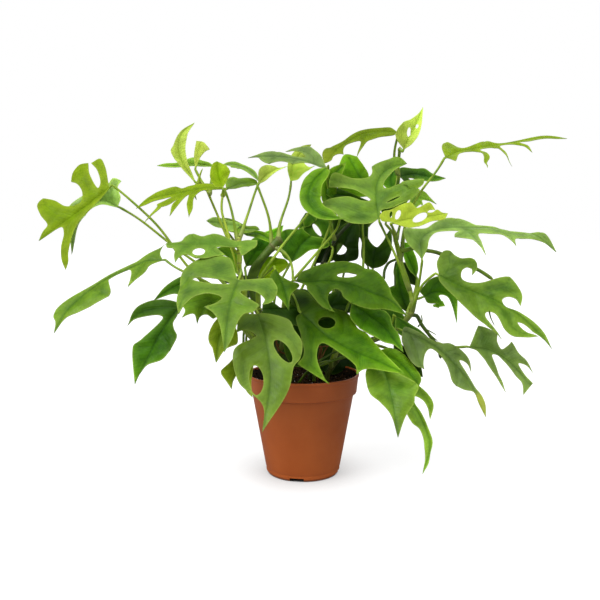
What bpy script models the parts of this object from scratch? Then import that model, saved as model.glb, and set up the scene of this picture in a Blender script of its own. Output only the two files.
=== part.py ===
"""Potted mini monstera, Rhaphidophora tetrasperma, in a 12 cm plastic nursery pot.

Lengths are millimetres until a mesh is made: X to the right, Y to the back, Z up, from the
centre of the pot's underside. A leaf is drawn on its own blade: millimetres along the midrib
from the stalk, and across it, positive on the right of someone who looks from the stalk to the
tip with the leaf's face up.
"""
import bpy
import bmesh
import numpy as np
from math import cos, sin, pi, radians
from mathutils import Vector
from mathutils.geometry import delaunay_2d_cdt

METRES = 0.001
GAP = 0.3                    # between two pieces that touch

POT_HEIGHT = 107.5
RIM_RADIUS = 60.0
RIM_BAND = 21.0              # height of the thicker band below the lip
BAND_RADIUS = 57.6           # at the band's lower edge
WALL_RADIUS = 54.4           # just under the band
BAND_STEP = 3.0              # the inner wall widens to the band over this height
FOOT_STEP = 7.0              # height of the small step above the foot
FOOT_RADIUS = 39.6
WALL = 1.6
FLOOR = 2.0
LIP_ROUND = 0.8
UNDER_BAND = POT_HEIGHT - RIM_BAND
POT_SEGMENTS = 64

DRAIN_SLOTS = 4
DRAIN_WIDTH = 15.0
DRAIN_HEIGHT = 3.0
DRAIN_DEPTH = 10.0           # of the cutter, across the foot's corner
DRAIN_FROM_FRONT = radians(-10)

SOIL_TOP = 96.0
SOIL_EDGE = 101.5            # the soil is pressed up this high against the wall
SOIL_FLAT = 44.0             # radius of its level middle
FLOOR_ROUND = 2.0            # the floor stops this far from the wall inside

STEM_SIDES = 8
STEM_STEP = 12.0             # length of one straight facet of a stem
STALK_STEP = 18.0
STALK_RADIUS = 1.3           # where it leaves the stem
STALK_END = 1.0              # where it meets the blade
STALK_SHOULDER = 2.0         # it narrows to the blade over this length
STALK_SIDES = 6
STALK_BEND = 0.35            # a stalk runs straight out over this part of its first stretch
STALK_BEND_MOST = 4.0
BASE_HALF = 0.9              # half of the blade's width there
BLADE = 0.7                  # thickness of a leaf
EDGE_STEP = 12.0             # length of one straight facet of a leaf's edge
RIB_STEP = 12.0              # between the points of a blade's fold line
RIB_FINE = 3.0               # between the points at which a midrib's curve is worked out
RIB_CLEAR = 3.0              # a fold-line point lies this far from every edge
ROOT_RISE = 8.0              # a stem leaves the soil straight up over this height
SHARP = radians(40)          # an edge that turns more than this is not smoothed over
TIP = True                   # marks a sharp point of a leaf's edge

GREENS = {                   # base colour and roughness of each age of leaf
    "new": ((0.30, 0.50, 0.05), 0.42),
    "mature": ((0.11, 0.29, 0.05), 0.40),
    "light": ((0.17, 0.38, 0.09), 0.38),
    "dark": ((0.04, 0.14, 0.025), 0.45),
    "olive": ((0.13, 0.24, 0.04), 0.50),
    "under": ((0.22, 0.40, 0.10), 0.55),
}


for leftover in list(bpy.data.objects):
    bpy.data.objects.remove(leftover)


def material(name, color, roughness):
    made = bpy.data.materials.new(name)
    made.use_nodes = True
    shader = made.node_tree.nodes["Principled BSDF"]
    shader.inputs["Base Color"].default_value = (*color, 1.0)
    shader.inputs["Roughness"].default_value = roughness
    shader.inputs["Metallic"].default_value = 0.0
    made.diffuse_color = (*color, 1.0)
    return made


def add_object(name, mesh_data, skin):
    """A named object from a bmesh in millimetres, with its faces out and its curves smooth."""
    bmesh.ops.recalc_face_normals(mesh_data, faces=mesh_data.faces)
    bmesh.ops.scale(mesh_data, vec=Vector((METRES, METRES, METRES)), verts=mesh_data.verts)
    mesh = bpy.data.meshes.new(name)
    mesh_data.to_mesh(mesh)
    mesh_data.free()
    mesh.shade_smooth()
    mesh.set_sharp_from_angle(angle=SHARP)
    mesh.materials.append(skin)
    made = bpy.data.objects.new(name, mesh)
    bpy.context.scene.collection.objects.link(made)
    return made


def cut(target, cutter):
    """Cut a closed object from the target, and remove it."""
    change = target.modifiers.new("cut", "BOOLEAN")
    change.operation = "DIFFERENCE"
    change.solver = "EXACT"
    change.object = cutter
    evaluated = target.evaluated_get(bpy.context.evaluated_depsgraph_get())
    result = bpy.data.meshes.new_from_object(evaluated)
    target.modifiers.clear()
    target.data = result
    bpy.data.objects.remove(cutter)


# Curves

def between(before, start, end, after, count):
    """Count points of a centripetal Catmull-Rom curve, from the start up to just before the end."""
    corners = [before, start, end, after]
    knots = [0.0]
    for near, far in zip(corners, corners[1:]):
        knots.append(knots[-1] + max(np.linalg.norm(far - near), 1e-6) ** 0.5)
    times = np.linspace(knots[1], knots[2], count, endpoint=False)[:, None]

    def blend(first, second, since, until):
        return ((until - times) * first + (times - since) * second) / (until - since)

    lower = [blend(corners[i], corners[i + 1], knots[i], knots[i + 1]) for i in range(3)]
    middle = [blend(lower[i], lower[i + 1], knots[i], knots[i + 2]) for i in range(2)]
    return blend(middle[0], middle[1], knots[1], knots[2])


def facets(start, end, step):
    return max(1, round(np.linalg.norm(end - start) / step))


def open_curve(points, step):
    """A smooth curve through points in space, cut into facets of about the step."""
    through = [np.array(point, float) for point in points]
    if len(through) == 2:
        return np.linspace(through[0], through[1], facets(through[0], through[1], step) + 1)
    ends = [2 * through[0] - through[1], *through, 2 * through[-1] - through[-2]]
    runs = [between(*ends[i:i + 4], facets(ends[i + 1], ends[i + 2], step))
            for i in range(len(through) - 1)]
    return np.vstack([*runs, through[-1]])


def closed_curve(edge, step):
    """A leaf's edge: smooth from tip to tip, with a sharp corner at each of its tips."""
    points = [np.array(entry[:2], float) for entry in edge]
    sharp = [len(entry) > 2 for entry in edge]
    runs = []
    for i in range(len(points)):
        start, end = points[i], points[(i + 1) % len(points)]
        before = 2 * start - end if sharp[i] else points[i - 1]
        after = 2 * end - start if sharp[(i + 1) % len(points)] else points[(i + 2) % len(points)]
        runs.append(between(before, start, end, after, facets(start, end, step)))
    return np.vstack(runs)


def distances(path):
    """How far along a path each of its points lies."""
    return np.concatenate([[0.0], np.cumsum(np.linalg.norm(np.diff(path, axis=0), axis=1))])


def unit(rows):
    return rows / np.linalg.norm(rows, axis=1)[:, None]


def directions(path):
    """The direction of a path at each of its points, halfway between its stretches there."""
    steps = unit(np.diff(path, axis=0))
    return unit(np.vstack([steps[0], steps[:-1] + steps[1:], steps[-1]]))


def at_distance(values, marks, where):
    """Rows of values, given at the marks, read off at other places."""
    return np.stack([np.interp(where, marks, column) for column in values.T], axis=-1)


# Stalks and stems

def sweep(made, path, radii, sides, side=(1.0, 0.0, 0.0), first=None, last=None):
    """Rings of vertices along a path, joined by faces; first and last turn the end rings.

    The side is roughly where each ring starts; its corners lie half a step on from there.
    """
    heading = directions(path)
    if first is not None:
        heading[0] = first
    if last is not None:
        heading[-1] = last
    side = np.array(side, float)
    rings = []
    for place, ahead, radius in zip(path, heading, radii):
        side = side - ahead * np.dot(side, ahead)
        side = side / np.linalg.norm(side)
        up = np.cross(ahead, side)
        turns = [2 * pi * (k + 0.5) / sides for k in range(sides)]
        rings.append([made.verts.new(place + radius * (cos(turn) * side + sin(turn) * up))
                      for turn in turns])
    for low, high in zip(rings, rings[1:]):
        for k in range(sides):
            made.faces.new((low[k - 1], low[k], high[k], high[k - 1]))
    return rings


def seat(stem_name, part, toward):
    """Where a stalk starts at a part of a stem's length, clear of it by the gap, and which way."""
    path, radii = STEMS[stem_name]
    marks = distances(path)
    where = part * marks[-1]
    centre = at_distance(path, marks, where)
    ahead = at_distance(directions(path), marks, where)
    out = np.array(toward, float) - centre
    out = out - ahead * np.dot(out, ahead) / np.dot(ahead, ahead)
    out = out / np.linalg.norm(out)
    return centre + out * (np.interp(where, marks, radii) + GAP), out


STEMS = {}                   # the path and the radii of each stem that is made


def stem(name, path, radii, root=None, on=None):
    """A stem from the soil, from a root point, or from another stem at a part of its length."""
    if root:
        start = np.array((*root, SOIL_TOP + GAP))
        first = np.array((0.0, 0.0, 1.0))
        points = [start, start + ROOT_RISE * first, *path]
    else:
        start, first = seat(*on, path[0])
        points = [start, *path]
    curve = open_curve(points, STEM_STEP)
    marks = distances(curve)
    widths = np.interp(marks, (0, marks[-1]), radii)
    STEMS[name] = (curve, widths)
    made = bmesh.new()
    rings = sweep(made, curve, widths, STEM_SIDES, first=first)
    made.faces.new(rings[0])
    made.faces.new(rings[-1])
    add_object(name, made, bpy.data.materials["stem"])


# Leaves

class Blade:
    """A leaf's middle surface: a midrib, and two halves that fold and curl away from it."""

    def __init__(self, midrib, face, fold, curl):
        self.rib = open_curve(midrib, RIB_FINE)
        self.marks = distances(self.rib)
        self.length = self.marks[-1]
        self.ahead = directions(self.rib)
        facing = np.atleast_2d(np.array(face, float))
        spread = np.linspace(0, self.length, len(facing))
        toward = at_distance(facing, spread, self.marks) if len(facing) > 1 else facing
        up = toward - self.ahead * (toward * self.ahead).sum(axis=1)[:, None]
        self.up = unit(up)
        self.fold = np.radians(fold)
        self.bend = np.radians(curl) / (0.5 * self.length)

    def place(self, along, across):
        """Points of the surface and its normals there."""
        along, across = np.asarray(along, float), np.asarray(across, float)
        on_rib = np.clip(along, 0, self.length)
        centre = at_distance(self.rib, self.marks, on_rib)
        ahead = at_distance(self.ahead, self.marks, on_rib)
        ahead = ahead / np.linalg.norm(ahead, axis=-1)[..., None]
        up = at_distance(self.up, self.marks, on_rib)
        up = up - ahead * (up * ahead).sum(axis=-1)[..., None]
        up = up / np.linalg.norm(up, axis=-1)[..., None]
        right = np.cross(ahead, up)
        half = (across < 0).astype(int)
        start = self.fold[half]
        bend = np.where(np.abs(self.bend[half]) < 1e-6, 1e-6, self.bend[half])
        turned = start + bend * np.abs(across)
        out = np.sign(across) * (np.sin(turned) - np.sin(start)) / bend
        lift = (np.cos(start) - np.cos(turned)) / bend
        point = centre + ahead * (along - on_rib)[..., None]
        point = point + right * out[..., None] + up * lift[..., None]
        tilt = np.where(across == 0, 0.0, turned) * np.sign(across)
        normal = up * np.cos(tilt)[..., None] - right * np.sin(tilt)[..., None]
        return point, normal


def hole_curve(along, across, length, width, turn):
    """An oval hole in a blade, its long side turned this many degrees away from the midrib."""
    count = max(8, round((length + width) / 4))
    angle = np.linspace(0, 2 * pi, count, endpoint=False)
    far = 0.5 * length * np.cos(angle)
    wide = 0.5 * width * np.sin(angle)
    turn = radians(turn)
    return np.stack([along + far * cos(turn) - wide * sin(turn),
                     across + far * sin(turn) + wide * cos(turn)], axis=1)


def inside(places, loop):
    """Which places lie inside a closed loop."""
    hits = np.zeros(len(places), bool)
    for (x1, y1), (x2, y2) in zip(loop, np.roll(loop, -1, axis=0)):
        crosses = (y1 > places[:, 1]) != (y2 > places[:, 1])
        height = np.where(crosses, places[:, 1] - y1, 0.0)
        hits ^= crosses & (places[:, 0] < x1 + (x2 - x1) * height / (y2 - y1 or 1.0))
    return hits


def base_corners(edge):
    """The two corners of the edge on either side of the stalk, first and last in its order."""
    outline = np.array([(0.0, 0.0), *(entry[:2] for entry in edge)])
    following = np.roll(outline, -1, axis=0)
    area = (outline[:, 0] * following[:, 1] - following[:, 0] * outline[:, 1]).sum()
    right, left = (0.0, BASE_HALF, TIP), (0.0, -BASE_HALF, TIP)
    return (right, left) if area < 0 else (left, right)


def blade_sheet(made, blade, edge, holes):
    """Add the blade as a sheet of even thickness, open where the stalk joins it.

    It is meshed between its edge and its midrib. Returns the opening's corners: the right and
    left ones of the upper face, then the left and right ones of the lower face.
    """
    first, last = base_corners(edge)
    loops = [closed_curve([first, *edge, last], EDGE_STEP), *(hole_curve(*hole) for hole in holes)]
    rib = np.arange(0.5 * RIB_STEP, blade.length - RIB_CLEAR, RIB_STEP)
    rib = np.stack([rib, np.zeros(len(rib))], axis=1)
    clear = [np.linalg.norm(np.vstack(loops) - place, axis=1).min() > RIB_CLEAR for place in rib]
    rib = rib[inside(rib, loops[0]) & np.array(clear)]
    corners, sides = [], []
    for loop in loops:
        count = len(corners)
        sides += [(count + k, count + (k + 1) % len(loop)) for k in range(len(loop))]
        corners += [Vector(place) for place in loop]
    corners += [Vector(place) for place in rib]
    flat, _, triangles, *_ = delaunay_2d_cdt(corners, sides, [], 0, 1e-4)
    flat = np.array([place[:] for place in flat])
    centres = np.array([flat[list(triangle)].mean(axis=0) for triangle in triangles])
    kept = inside(centres, loops[0])
    for hole in loops[1:]:
        kept &= ~inside(centres, hole)
    point, normal = blade.place(flat[:, 0], flat[:, 1])
    top = [made.verts.new(place) for place in point + 0.5 * BLADE * normal]
    bottom = [made.verts.new(place) for place in point - 0.5 * BLADE * normal]
    right, left = (int(np.linalg.norm(flat - corner, axis=1).argmin())
                   for corner in ((0.0, BASE_HALF), (0.0, -BASE_HALF)))
    used = {}
    for triangle, keep in zip(triangles, kept):
        if not keep:
            continue
        made.faces.new([top[k] for k in triangle])
        made.faces.new([bottom[k] for k in reversed(triangle)])
        for start, end in zip(triangle, (*triangle[1:], triangle[0])):
            used.setdefault(frozenset((start, end)), []).append((start, end))
    for ends, runs in used.items():
        if len(runs) == 1 and ends != {right, left}:
            start, end = runs[0]
            made.faces.new((top[end], top[start], bottom[start], bottom[end]))
    return top[right], top[left], bottom[left], bottom[right]


def onward(end, out, toward):
    """A point straight out of an end, so that a stalk leaves it straight before it turns."""
    reach = STALK_BEND * np.linalg.norm(np.array(toward, float) - end)
    return end + min(reach, STALK_BEND_MOST) * out


def leaf(name, age, on, stalk, midrib, face, edge, holes=(), fold=(8, 8), curl=(-12, -12)):
    """A blade, and the stalk that carries it from a stem to the foot of its midrib."""
    blade = Blade(midrib, face, fold, curl)
    made = bmesh.new()
    upper_right, upper_left, lower_left, lower_right = blade_sheet(made, blade, edge, holes)
    start, first = seat(*on, stalk[0])
    ahead, up = blade.ahead[0], blade.up[0]
    end = blade.rib[0] - STALK_SHOULDER * ahead
    bends = [onward(end, -ahead, stalk[-1]), *reversed(stalk), onward(start, first, stalk[0])]
    path = open_curve([end, *bends, start], STALK_STEP)
    marks = distances(path)
    radii = np.interp(marks, (0, marks[-1]), (STALK_END, STALK_RADIUS))
    rings = sweep(made, path, radii, STALK_SIDES, side=np.cross(ahead, up), first=-ahead, last=-first)
    one, two, three, four, five, six = rings[0]
    made.faces.new((one, two, three, upper_left, upper_right))
    made.faces.new((three, four, lower_left, upper_left))
    made.faces.new((four, five, six, lower_right, lower_left))
    made.faces.new((six, one, upper_right, lower_right))
    made.faces.new(rings[-1])
    bmesh.ops.delete(made, geom=[vert for vert in made.verts if not vert.link_faces],
                     context="VERTS")
    bmesh.ops.triangulate(made, faces=made.faces)
    add_object(name, made, bpy.data.materials["leaf_" + age])


# Pot and soil

def turned(name, profile, skin):
    """A closed solid of revolution from (radius, height) points, from the axis to the axis."""
    made = bmesh.new()
    turns = [2 * pi * k / POT_SEGMENTS for k in range(POT_SEGMENTS)]
    rings = []
    for radius, height in profile:
        if radius == 0:
            rings.append([made.verts.new((0, 0, height))] * POT_SEGMENTS)
            continue
        rings.append([made.verts.new((radius * cos(turn), radius * sin(turn), height))
                      for turn in turns])
    for low, high in zip(rings, rings[1:]):
        for k in range(POT_SEGMENTS):
            corners = []
            for vert in (low[k - 1], low[k], high[k], high[k - 1]):
                if vert not in corners:
                    corners.append(vert)
            made.faces.new(corners)
    return add_object(name, made, bpy.data.materials[skin])


def wall_inside(height):
    """Radius of the pot's inner wall at a height."""
    if height > UNDER_BAND + BAND_STEP:
        share = (height - UNDER_BAND) / RIM_BAND
        return BAND_RADIUS + share * (RIM_RADIUS - LIP_ROUND - BAND_RADIUS) - WALL
    share = (height - FOOT_STEP) / (UNDER_BAND - FOOT_STEP)
    return FOOT_RADIUS + share * (WALL_RADIUS - FOOT_RADIUS) - WALL


WALL_BREAKS = (UNDER_BAND + BAND_STEP + 0.1, UNDER_BAND - 1.0, FLOOR + 3.0)


def pot():
    """A tapered cup with a band below its lip, a small step above its foot, and drain slots."""
    outside = [
        (0, 0), (FOOT_RADIUS - 5, 0), (FOOT_RADIUS - 2, 0), (FOOT_RADIUS - 0.5, 1.2),
        (FOOT_RADIUS, 3), (FOOT_RADIUS, FOOT_STEP - 0.8), (FOOT_RADIUS + 0.9, FOOT_STEP),
        (WALL_RADIUS, UNDER_BAND), (BAND_RADIUS - LIP_ROUND, UNDER_BAND + 0.2),
        (BAND_RADIUS, UNDER_BAND + 1.2), (RIM_RADIUS - LIP_ROUND, POT_HEIGHT - 3.6),
        (RIM_RADIUS, POT_HEIGHT - 2.6), (RIM_RADIUS, POT_HEIGHT - LIP_ROUND),
        (RIM_RADIUS - LIP_ROUND, POT_HEIGHT),
    ]
    lip = [(RIM_RADIUS - WALL - 0.4, POT_HEIGHT), (wall_inside(POT_HEIGHT), POT_HEIGHT - LIP_ROUND)]
    inside_wall = [(wall_inside(height), height) for height in WALL_BREAKS]
    floor = [(FOOT_RADIUS - WALL - FLOOR_ROUND, FLOOR), (0, FLOOR)]
    made = turned("pot", [*outside, *lip, *inside_wall, *floor], "pot_plastic")
    for k in range(DRAIN_SLOTS):
        cutter = bmesh.new()
        bmesh.ops.create_cube(cutter, size=1.0)
        bmesh.ops.scale(cutter, vec=Vector((DRAIN_DEPTH, DRAIN_WIDTH, 2 * DRAIN_HEIGHT)),
                        verts=cutter.verts)
        bmesh.ops.translate(cutter, vec=Vector((FOOT_RADIUS, 0, 0)), verts=cutter.verts)
        slot = add_object("drain_cutter", cutter, bpy.data.materials["pot_plastic"])
        slot.rotation_euler = (0, 0, DRAIN_FROM_FRONT - pi / 2 + 2 * pi * k / DRAIN_SLOTS)
        bpy.context.view_layer.update()
        cut(made, slot)


def soil():
    """A plug of soil that fills the pot up to a little below its lip."""
    top = [(0, SOIL_TOP), (SOIL_FLAT, SOIL_TOP), (wall_inside(SOIL_EDGE) - GAP, SOIL_EDGE)]
    sides = [(wall_inside(height) - GAP, height) for height in WALL_BREAKS]
    foot = [(FOOT_RADIUS - WALL - FLOOR_ROUND - GAP, FLOOR + GAP), (0, FLOOR + GAP)]
    turned("soil", [*top, *sides, *foot], "soil")


material("pot_plastic", (0.29, 0.095, 0.032), 0.55)
material("soil", (0.035, 0.02, 0.012), 0.95)
material("stem", (0.22, 0.30, 0.08), 0.5)
for age, (green, roughness) in GREENS.items():
    material("leaf_" + age, green, roughness)
pot()
soil()


# Stems. Each path starts where it leaves the soil or the stem that carries it.

stem("vine_left", root=(-28, -8), radii=(2.6, 1.9),
     path=[(-49, -12, 144), (-58, -15, 168), (-62, -14, 195), (-66, -11, 222), (-67, -8, 252)])
stem("vine_centre", root=(-14, 10), radii=(2.8, 4.2),
     path=[(-44, 8, 163), (-55, 6, 195), (-54, 4, 215), (-39, 2, 234), (-23, 2, 251)])
stem("vine_back", root=(8, 16), radii=(2.4, 1.6),
     path=[(21, 20, 164), (17, 28, 199), (28, 35, 237), (54, 38, 268), (89, 38, 288),
           (104, 36, 309), (104, 33, 330), (105, 29, 349)])
stem("vine_right", root=(26, 0), radii=(3.0, 2.0),
     path=[(52, 0, 137), (82, -2, 145), (103, -5, 159), (115, -8, 175), (112, -5, 198),
           (102, 2, 231), (96, 6, 259)])
stem("runner_low_right", on=("vine_right", 0.58), radii=(2.1, 1.7),
     path=[(120, -5, 169), (126, -3, 159), (136, -1, 146), (144, 0, 135), (148, 3, 122)])
stem("shoot_upper_left", on=("vine_left", 0.72), radii=(1.4, 1.2),
     path=[(-69, -1, 217), (-75, 1, 238), (-86, 6, 264), (-97, 11, 289), (-103, 14, 302),
           (-109, 12, 310)])
stem("shoot_crest", on=("vine_left", 0.9), radii=(1.4, 1.2),
     path=[(-74, -16, 244), (-79, -14, 261), (-84, -10, 278), (-84, -8, 290), (-82, -6, 299)])

# Upper left: two young leaves held out on long stalks.

leaf("leaf_upper_left_fan", "new", on=("vine_left", 0.5),
     stalk=[(-108, -8, 207), (-125, -8, 226), (-148, -10, 261), (-168, -13, 281)],
     midrib=[(-199, -12, 303), (-223, -20, 282), (-246, -27, 264), (-266, -33, 248)],
     face=(-0.15, -0.85, 0.5), fold=(6, 6), curl=(-14, -20),
     edge=[(-12, 25), (-14, 38), (-4, 41, TIP), (-3, 27), (4, 11), (9, 8), (5, 30),
           (-2, 44, TIP), (6, 51), (16, 48), (25, 38, TIP), (22, 30), (24, 17), (33, 8), (46, 14),
           (52, 31), (60, 45, TIP), (68, 41), (72, 25), (73, 9), (80, 6), (89, 0, TIP), (63, -4),
           (65, -12), (75, -23), (83, -36), (86, -47, TIP), (79, -42), (73, -34), (46, -11),
           (14, -5)])
leaf("leaf_upper_left_behind", "under", on=("vine_left", 0.55),
     stalk=[(-85, -3, 207), (-114, 2, 225), (-144, 6, 247), (-170, 9, 268), (-183, 10, 277)],
     midrib=[(-197, 10, 284), (-217, 16, 291), (-238, 13, 281), (-242, -7, 233)],
     face=(-0.1, -0.9, 0.4),
     edge=[(13, -4), (49, -10), (66, -4), (99, 0, TIP), (62, 8), (53, 13),
           (48, 13, TIP), (39, 11), (27, 13), (19, 19), (17, 27), (12, 27, TIP), (11, 18), (2, 10)])

# Crest: the small leaves at the top of the two thin shoots.

leaf("leaf_crest_tall_young", "new", on=("shoot_upper_left", 0.985), stalk=[(-113, 12, 311)],
     midrib=[(-116, 13, 312), (-128, 16, 330), (-133, 21, 348), (-130, 27, 363), (-117, 34, 376)],
     face=(0.2, -0.92, 0.3), fold=(14, 14), curl=(6, 6),
     edge=[(22, -5), (37, -9), (42, -6), (77, 0, TIP), (54, 7), (38, 7), (13, 4)])
leaf("leaf_crest_small_young", "new", on=("shoot_upper_left", 0.93), stalk=[(-113, 17, 318)],
     midrib=[(-115, 20, 327), (-113, 23, 340), (-110, 25, 354)],
     face=(-0.3, -0.9, 0.3), fold=(10, 10), curl=(5, 5),
     edge=[(12, -4), (28, -5, TIP), (28, 3), (24, 10), (20, 15, TIP), (17, 9), (8, 3)])
leaf("leaf_crest_level", "mature", on=("shoot_upper_left", 0.86), stalk=[(-100, 22, 320)],
     midrib=[(-97, 26, 328), (-117, 30, 331), (-136, 28, 329), (-158, 28, 329)],
     face=(0, -0.5, 0.86), fold=(4, 4), curl=(-6, -6),
     edge=[(7, 6), (17, 9), (23, 17), (29, 12), (42, 6), (53, 5), (62, 0, TIP),
           (53, -4), (12, -6)])
leaf("leaf_crest_fingered", "new", on=("shoot_crest", 0.98), stalk=[(-79, -8, 303)],
     midrib=[(-84, -4, 302), (-103, 0, 303), (-120, 0, 300), (-144, -3, 295), (-159, -6, 291),
             (-171, -18, 281)],
     face=(-0.1, -0.6, 0.8), fold=(4, 4), curl=(-5, -5),
     edge=[(11, 6), (35, 8), (43, 6), (48, 11), (66, 10), (77, 4), (97, 0, TIP),
           (85, -6), (67, -7), (55, -7), (63, -12), (113, -28, TIP), (60, -20), (50, -14),
           (56, -21), (61, -38, TIP), (37, -9), (40, -25), (39, -50, TIP), (34, -35), (31, -15),
           (22, -6), (10, -4)])
leaf("leaf_crest_cupped", "new", on=("shoot_crest", 0.94), stalk=[(-82, -10, 300)],
     midrib=[(-83, -12, 303), (-87, -10, 315), (-89, -7, 330)],
     face=(0.1, -0.95, 0.2), fold=(16, 16), curl=(16, 16),
     edge=[(1, -7), (8, -10), (25, -5), (28, 0, TIP), (20, 11), (12, 13), (2, 4)])
leaf("leaf_crest_arching", "light", on=("vine_left", 0.99),
     stalk=[(-63, -2, 263), (-56, 4, 280), (-51, 8, 301)],
     midrib=[(-47, 12, 312), (-58, 38, 325), (-70, 50, 331), (-81, 54, 333), (-90, 51, 332)],
     face=(0, -0.45, 0.89), fold=(4, 4), curl=(-6, -6),
     edge=[(20, 3), (49, 4), (60, 7), (71, 0, TIP), (57, -9), (40, -7), (20, -5)])
leaf("leaf_crest_lower", "mature", on=("vine_left", 0.96),
     stalk=[(-71, -4, 265), (-75, -3, 280), (-78, 0, 295)],
     midrib=[(-80, 2, 302), (-69, 14, 308), (-59, 19, 310), (-48, 18, 309)],
     face=(0, -0.42, 0.9), fold=(3, 3), curl=(-5, -5),
     edge=[(14, -15), (21, -21), (24, -12), (30, -11), (37, -6, TIP), (40, 2, TIP),
           (34, 11), (8, 9)])
leaf("leaf_crest_pale", "new", on=("vine_centre", 0.93),
     stalk=[(-33, 6, 259), (-36, 4, 273), (-40, 2, 286)],
     midrib=[(-46, 1, 308), (-38, 6, 317), (-28, 10, 323), (-16, 13, 327)],
     face=(0.15, -0.9, 0.35), fold=(12, 12), curl=(8, 8),
     edge=[(6, -6), (12, -10), (18, -9), (25, -4, TIP), (28, -1), (38, 0, TIP),
           (8, 4)])

# Top: the arching leaves above the middle, and the long one trailing to the right.

leaf("leaf_top_yellow_behind", "new", on=("vine_centre", 0.985),
     stalk=[(-27, 9, 257), (-25, 14, 267), (-20, 22, 281), (-14, 28, 296)],
     midrib=[(-13, 34, 313), (-12, 39, 327), (-4, 45, 342), (10, 50, 355)],
     face=(0, -0.93, 0.35), fold=(8, 8), curl=(6, 6),
     edge=[(24, -7), (43, -5), (52, 0, TIP), (35, 7), (27, 10), (23, 18),
           (30, 23, TIP), (15, 19), (6, 12), (1, 7)])
leaf("leaf_top_centre_long", "light", on=("vine_left", 0.3),
     stalk=[(-47, -26, 206), (-34, -24, 225), (-17, -14, 249), (-3, 2, 265), (12, 18, 286),
            (24, 22, 313)],
     midrib=[(24, 10, 325), (3, 20, 333), (-19, 26, 338), (-41, 28, 339), (-59, 25, 337)],
     face=(0, -0.62, 0.78), fold=(6, 6), curl=(-10, -10),
     edge=[(15, 15), (24, 21), (31, 25), (44, 17), (50, 10, TIP), (42, 13), (34, 12),
           (28, 6), (38, 3), (64, 9), (79, 3), (89, 0, TIP), (79, -1), (75, -9), (66, -14),
           (50, -10), (34, -11), (26, -5), (15, -2), (5, -3)])
leaf("leaf_top_arching", "new", on=("vine_back", 0.9), stalk=[(98, 32, 338), (99, 28, 351)],
     midrib=[(100, 24, 364), (83, 25, 365), (64, 22, 362), (50, 15, 354), (37, 4, 344),
             (23, -11, 327)],
     face=(0, -0.72, 0.69), fold=(5, 5), curl=(-8, -8),
     edge=[(6, 6), (17, 5), (49, 5), (63, 4), (76, 7), (83, 11), (92, 9),
           (101, 1, TIP), (94, -3), (87, -2), (81, -6), (80, -10, TIP), (72, -5), (63, -3),
           (48, -9), (74, -23, TIP), (44, -15), (26, -13), (2, -6)])
leaf("leaf_top_unfurling", "new", on=("vine_back", 0.99), stalk=[(107, 20, 341)],
     midrib=[(107, 14, 345), (113, 16, 358), (120, 18, 371), (128, 21, 390)],
     face=(0.1, -0.98, 0.1), fold=(18, 18), curl=(20, 20),
     edge=[(5, -14), (11, -17), (24, -14), (30, -9), (44, -1), (50, 0, TIP),
           (30, 6), (18, 8), (8, 6)],
     holes=[(18, -3, 10, 5, -25), (28, 2, 5, 3, -15)])
leaf("leaf_right_top_trailing", "new", on=("vine_right", 0.86),
     stalk=[(106, 10, 254), (113, 10, 278), (126, 8, 303), (144, 6, 324)],
     midrib=[(150, 6, 335), (166, 22, 343), (187, 33, 348), (218, 45, 354), (243, 57, 359),
             (276, 71, 365), (302, 72, 364)],
     face=(0.05, -0.5, 0.86), fold=(4, 4), curl=(-5, -5),
     edge=[(30, -23), (34, -5), (73, -12), (77, -5), (82, -2), (133, -3), (155, -4),
           (173, 0, TIP), (161, 4), (145, 4), (121, 5), (107, 4), (109, 14), (100, 31, TIP),
           (103, 15), (93, 6), (78, 5), (72, 24), (54, 56, TIP), (69, 26), (71, 9), (51, 6),
           (49, 18), (42, 32), (8, 44, TIP), (39, 26), (44, 11), (23, 5), (-2, 13, TIP)])
leaf("leaf_right_dark", "dark", on=("vine_back", 0.8), stalk=[(109, 44, 314)],
     midrib=[(108, 48, 319), (124, 50, 322), (140, 48, 319), (159, 46, 317)],
     face=(0, -0.75, 0.66), fold=(4, 4), curl=(-8, -8),
     edge=[(-3, 8, TIP), (5, -12), (16, -8), (27, -10), (39, -4), (52, 0, TIP), (43, 6), (20, 9),
           (8, 6), (10, 12), (4, 14)])
leaf("leaf_right_spike_behind", "light", on=("vine_right", 0.95), stalk=[(104, 18, 268)],
     midrib=[(112, 26, 279), (127, 41, 295), (149, 42, 288)], face=(0.2, -0.8, 0.55),
     edge=[(17, -3), (32, -10), (40, -5), (50, 0, TIP), (40, 0), (32, 4), (34, 10),
           (12, 7)])

# Upper middle: the big curled leaf and the broad fingered one over it.

leaf("leaf_centre_big_curl", "mature", on=("vine_centre", 0.22),
     stalk=[(-19, -14, 195), (-3, -20, 216), (20, -8, 242), (41, 2, 268), (33, 14, 288),
            (24, 14, 306), (27, 4, 320)],
     midrib=[(24, -5, 323), (9, -9, 307), (5, -17, 289), (17, -28, 275), (39, -38, 270)],
     face=(-0.25, -0.85, 0.45), fold=(3, 3), curl=(-14, -14),
     edge=[(7, 7), (16, 10), (59, 6), (80, 3), (92, 0, TIP), (84, -2), (75, -8),
           (61, -10), (38, -14), (6, -9), (0, -6, TIP)])
leaf("leaf_centre_behind_lobe", "mature", on=("vine_right", 0.14),
     stalk=[(58, -4, 180), (63, -2, 217), (65, 6, 243), (63, 14, 266), (68, 22, 285)],
     midrib=[(74, 26, 296), (62, 35, 318), (49, 44, 342)], face=(0.1, -0.9, 0.4),
     edge=[(14, 5), (25, 10), (49, 9, TIP), (57, -2), (45, -18), (39, -28),
           (23, -29), (6, -17)])
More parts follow.
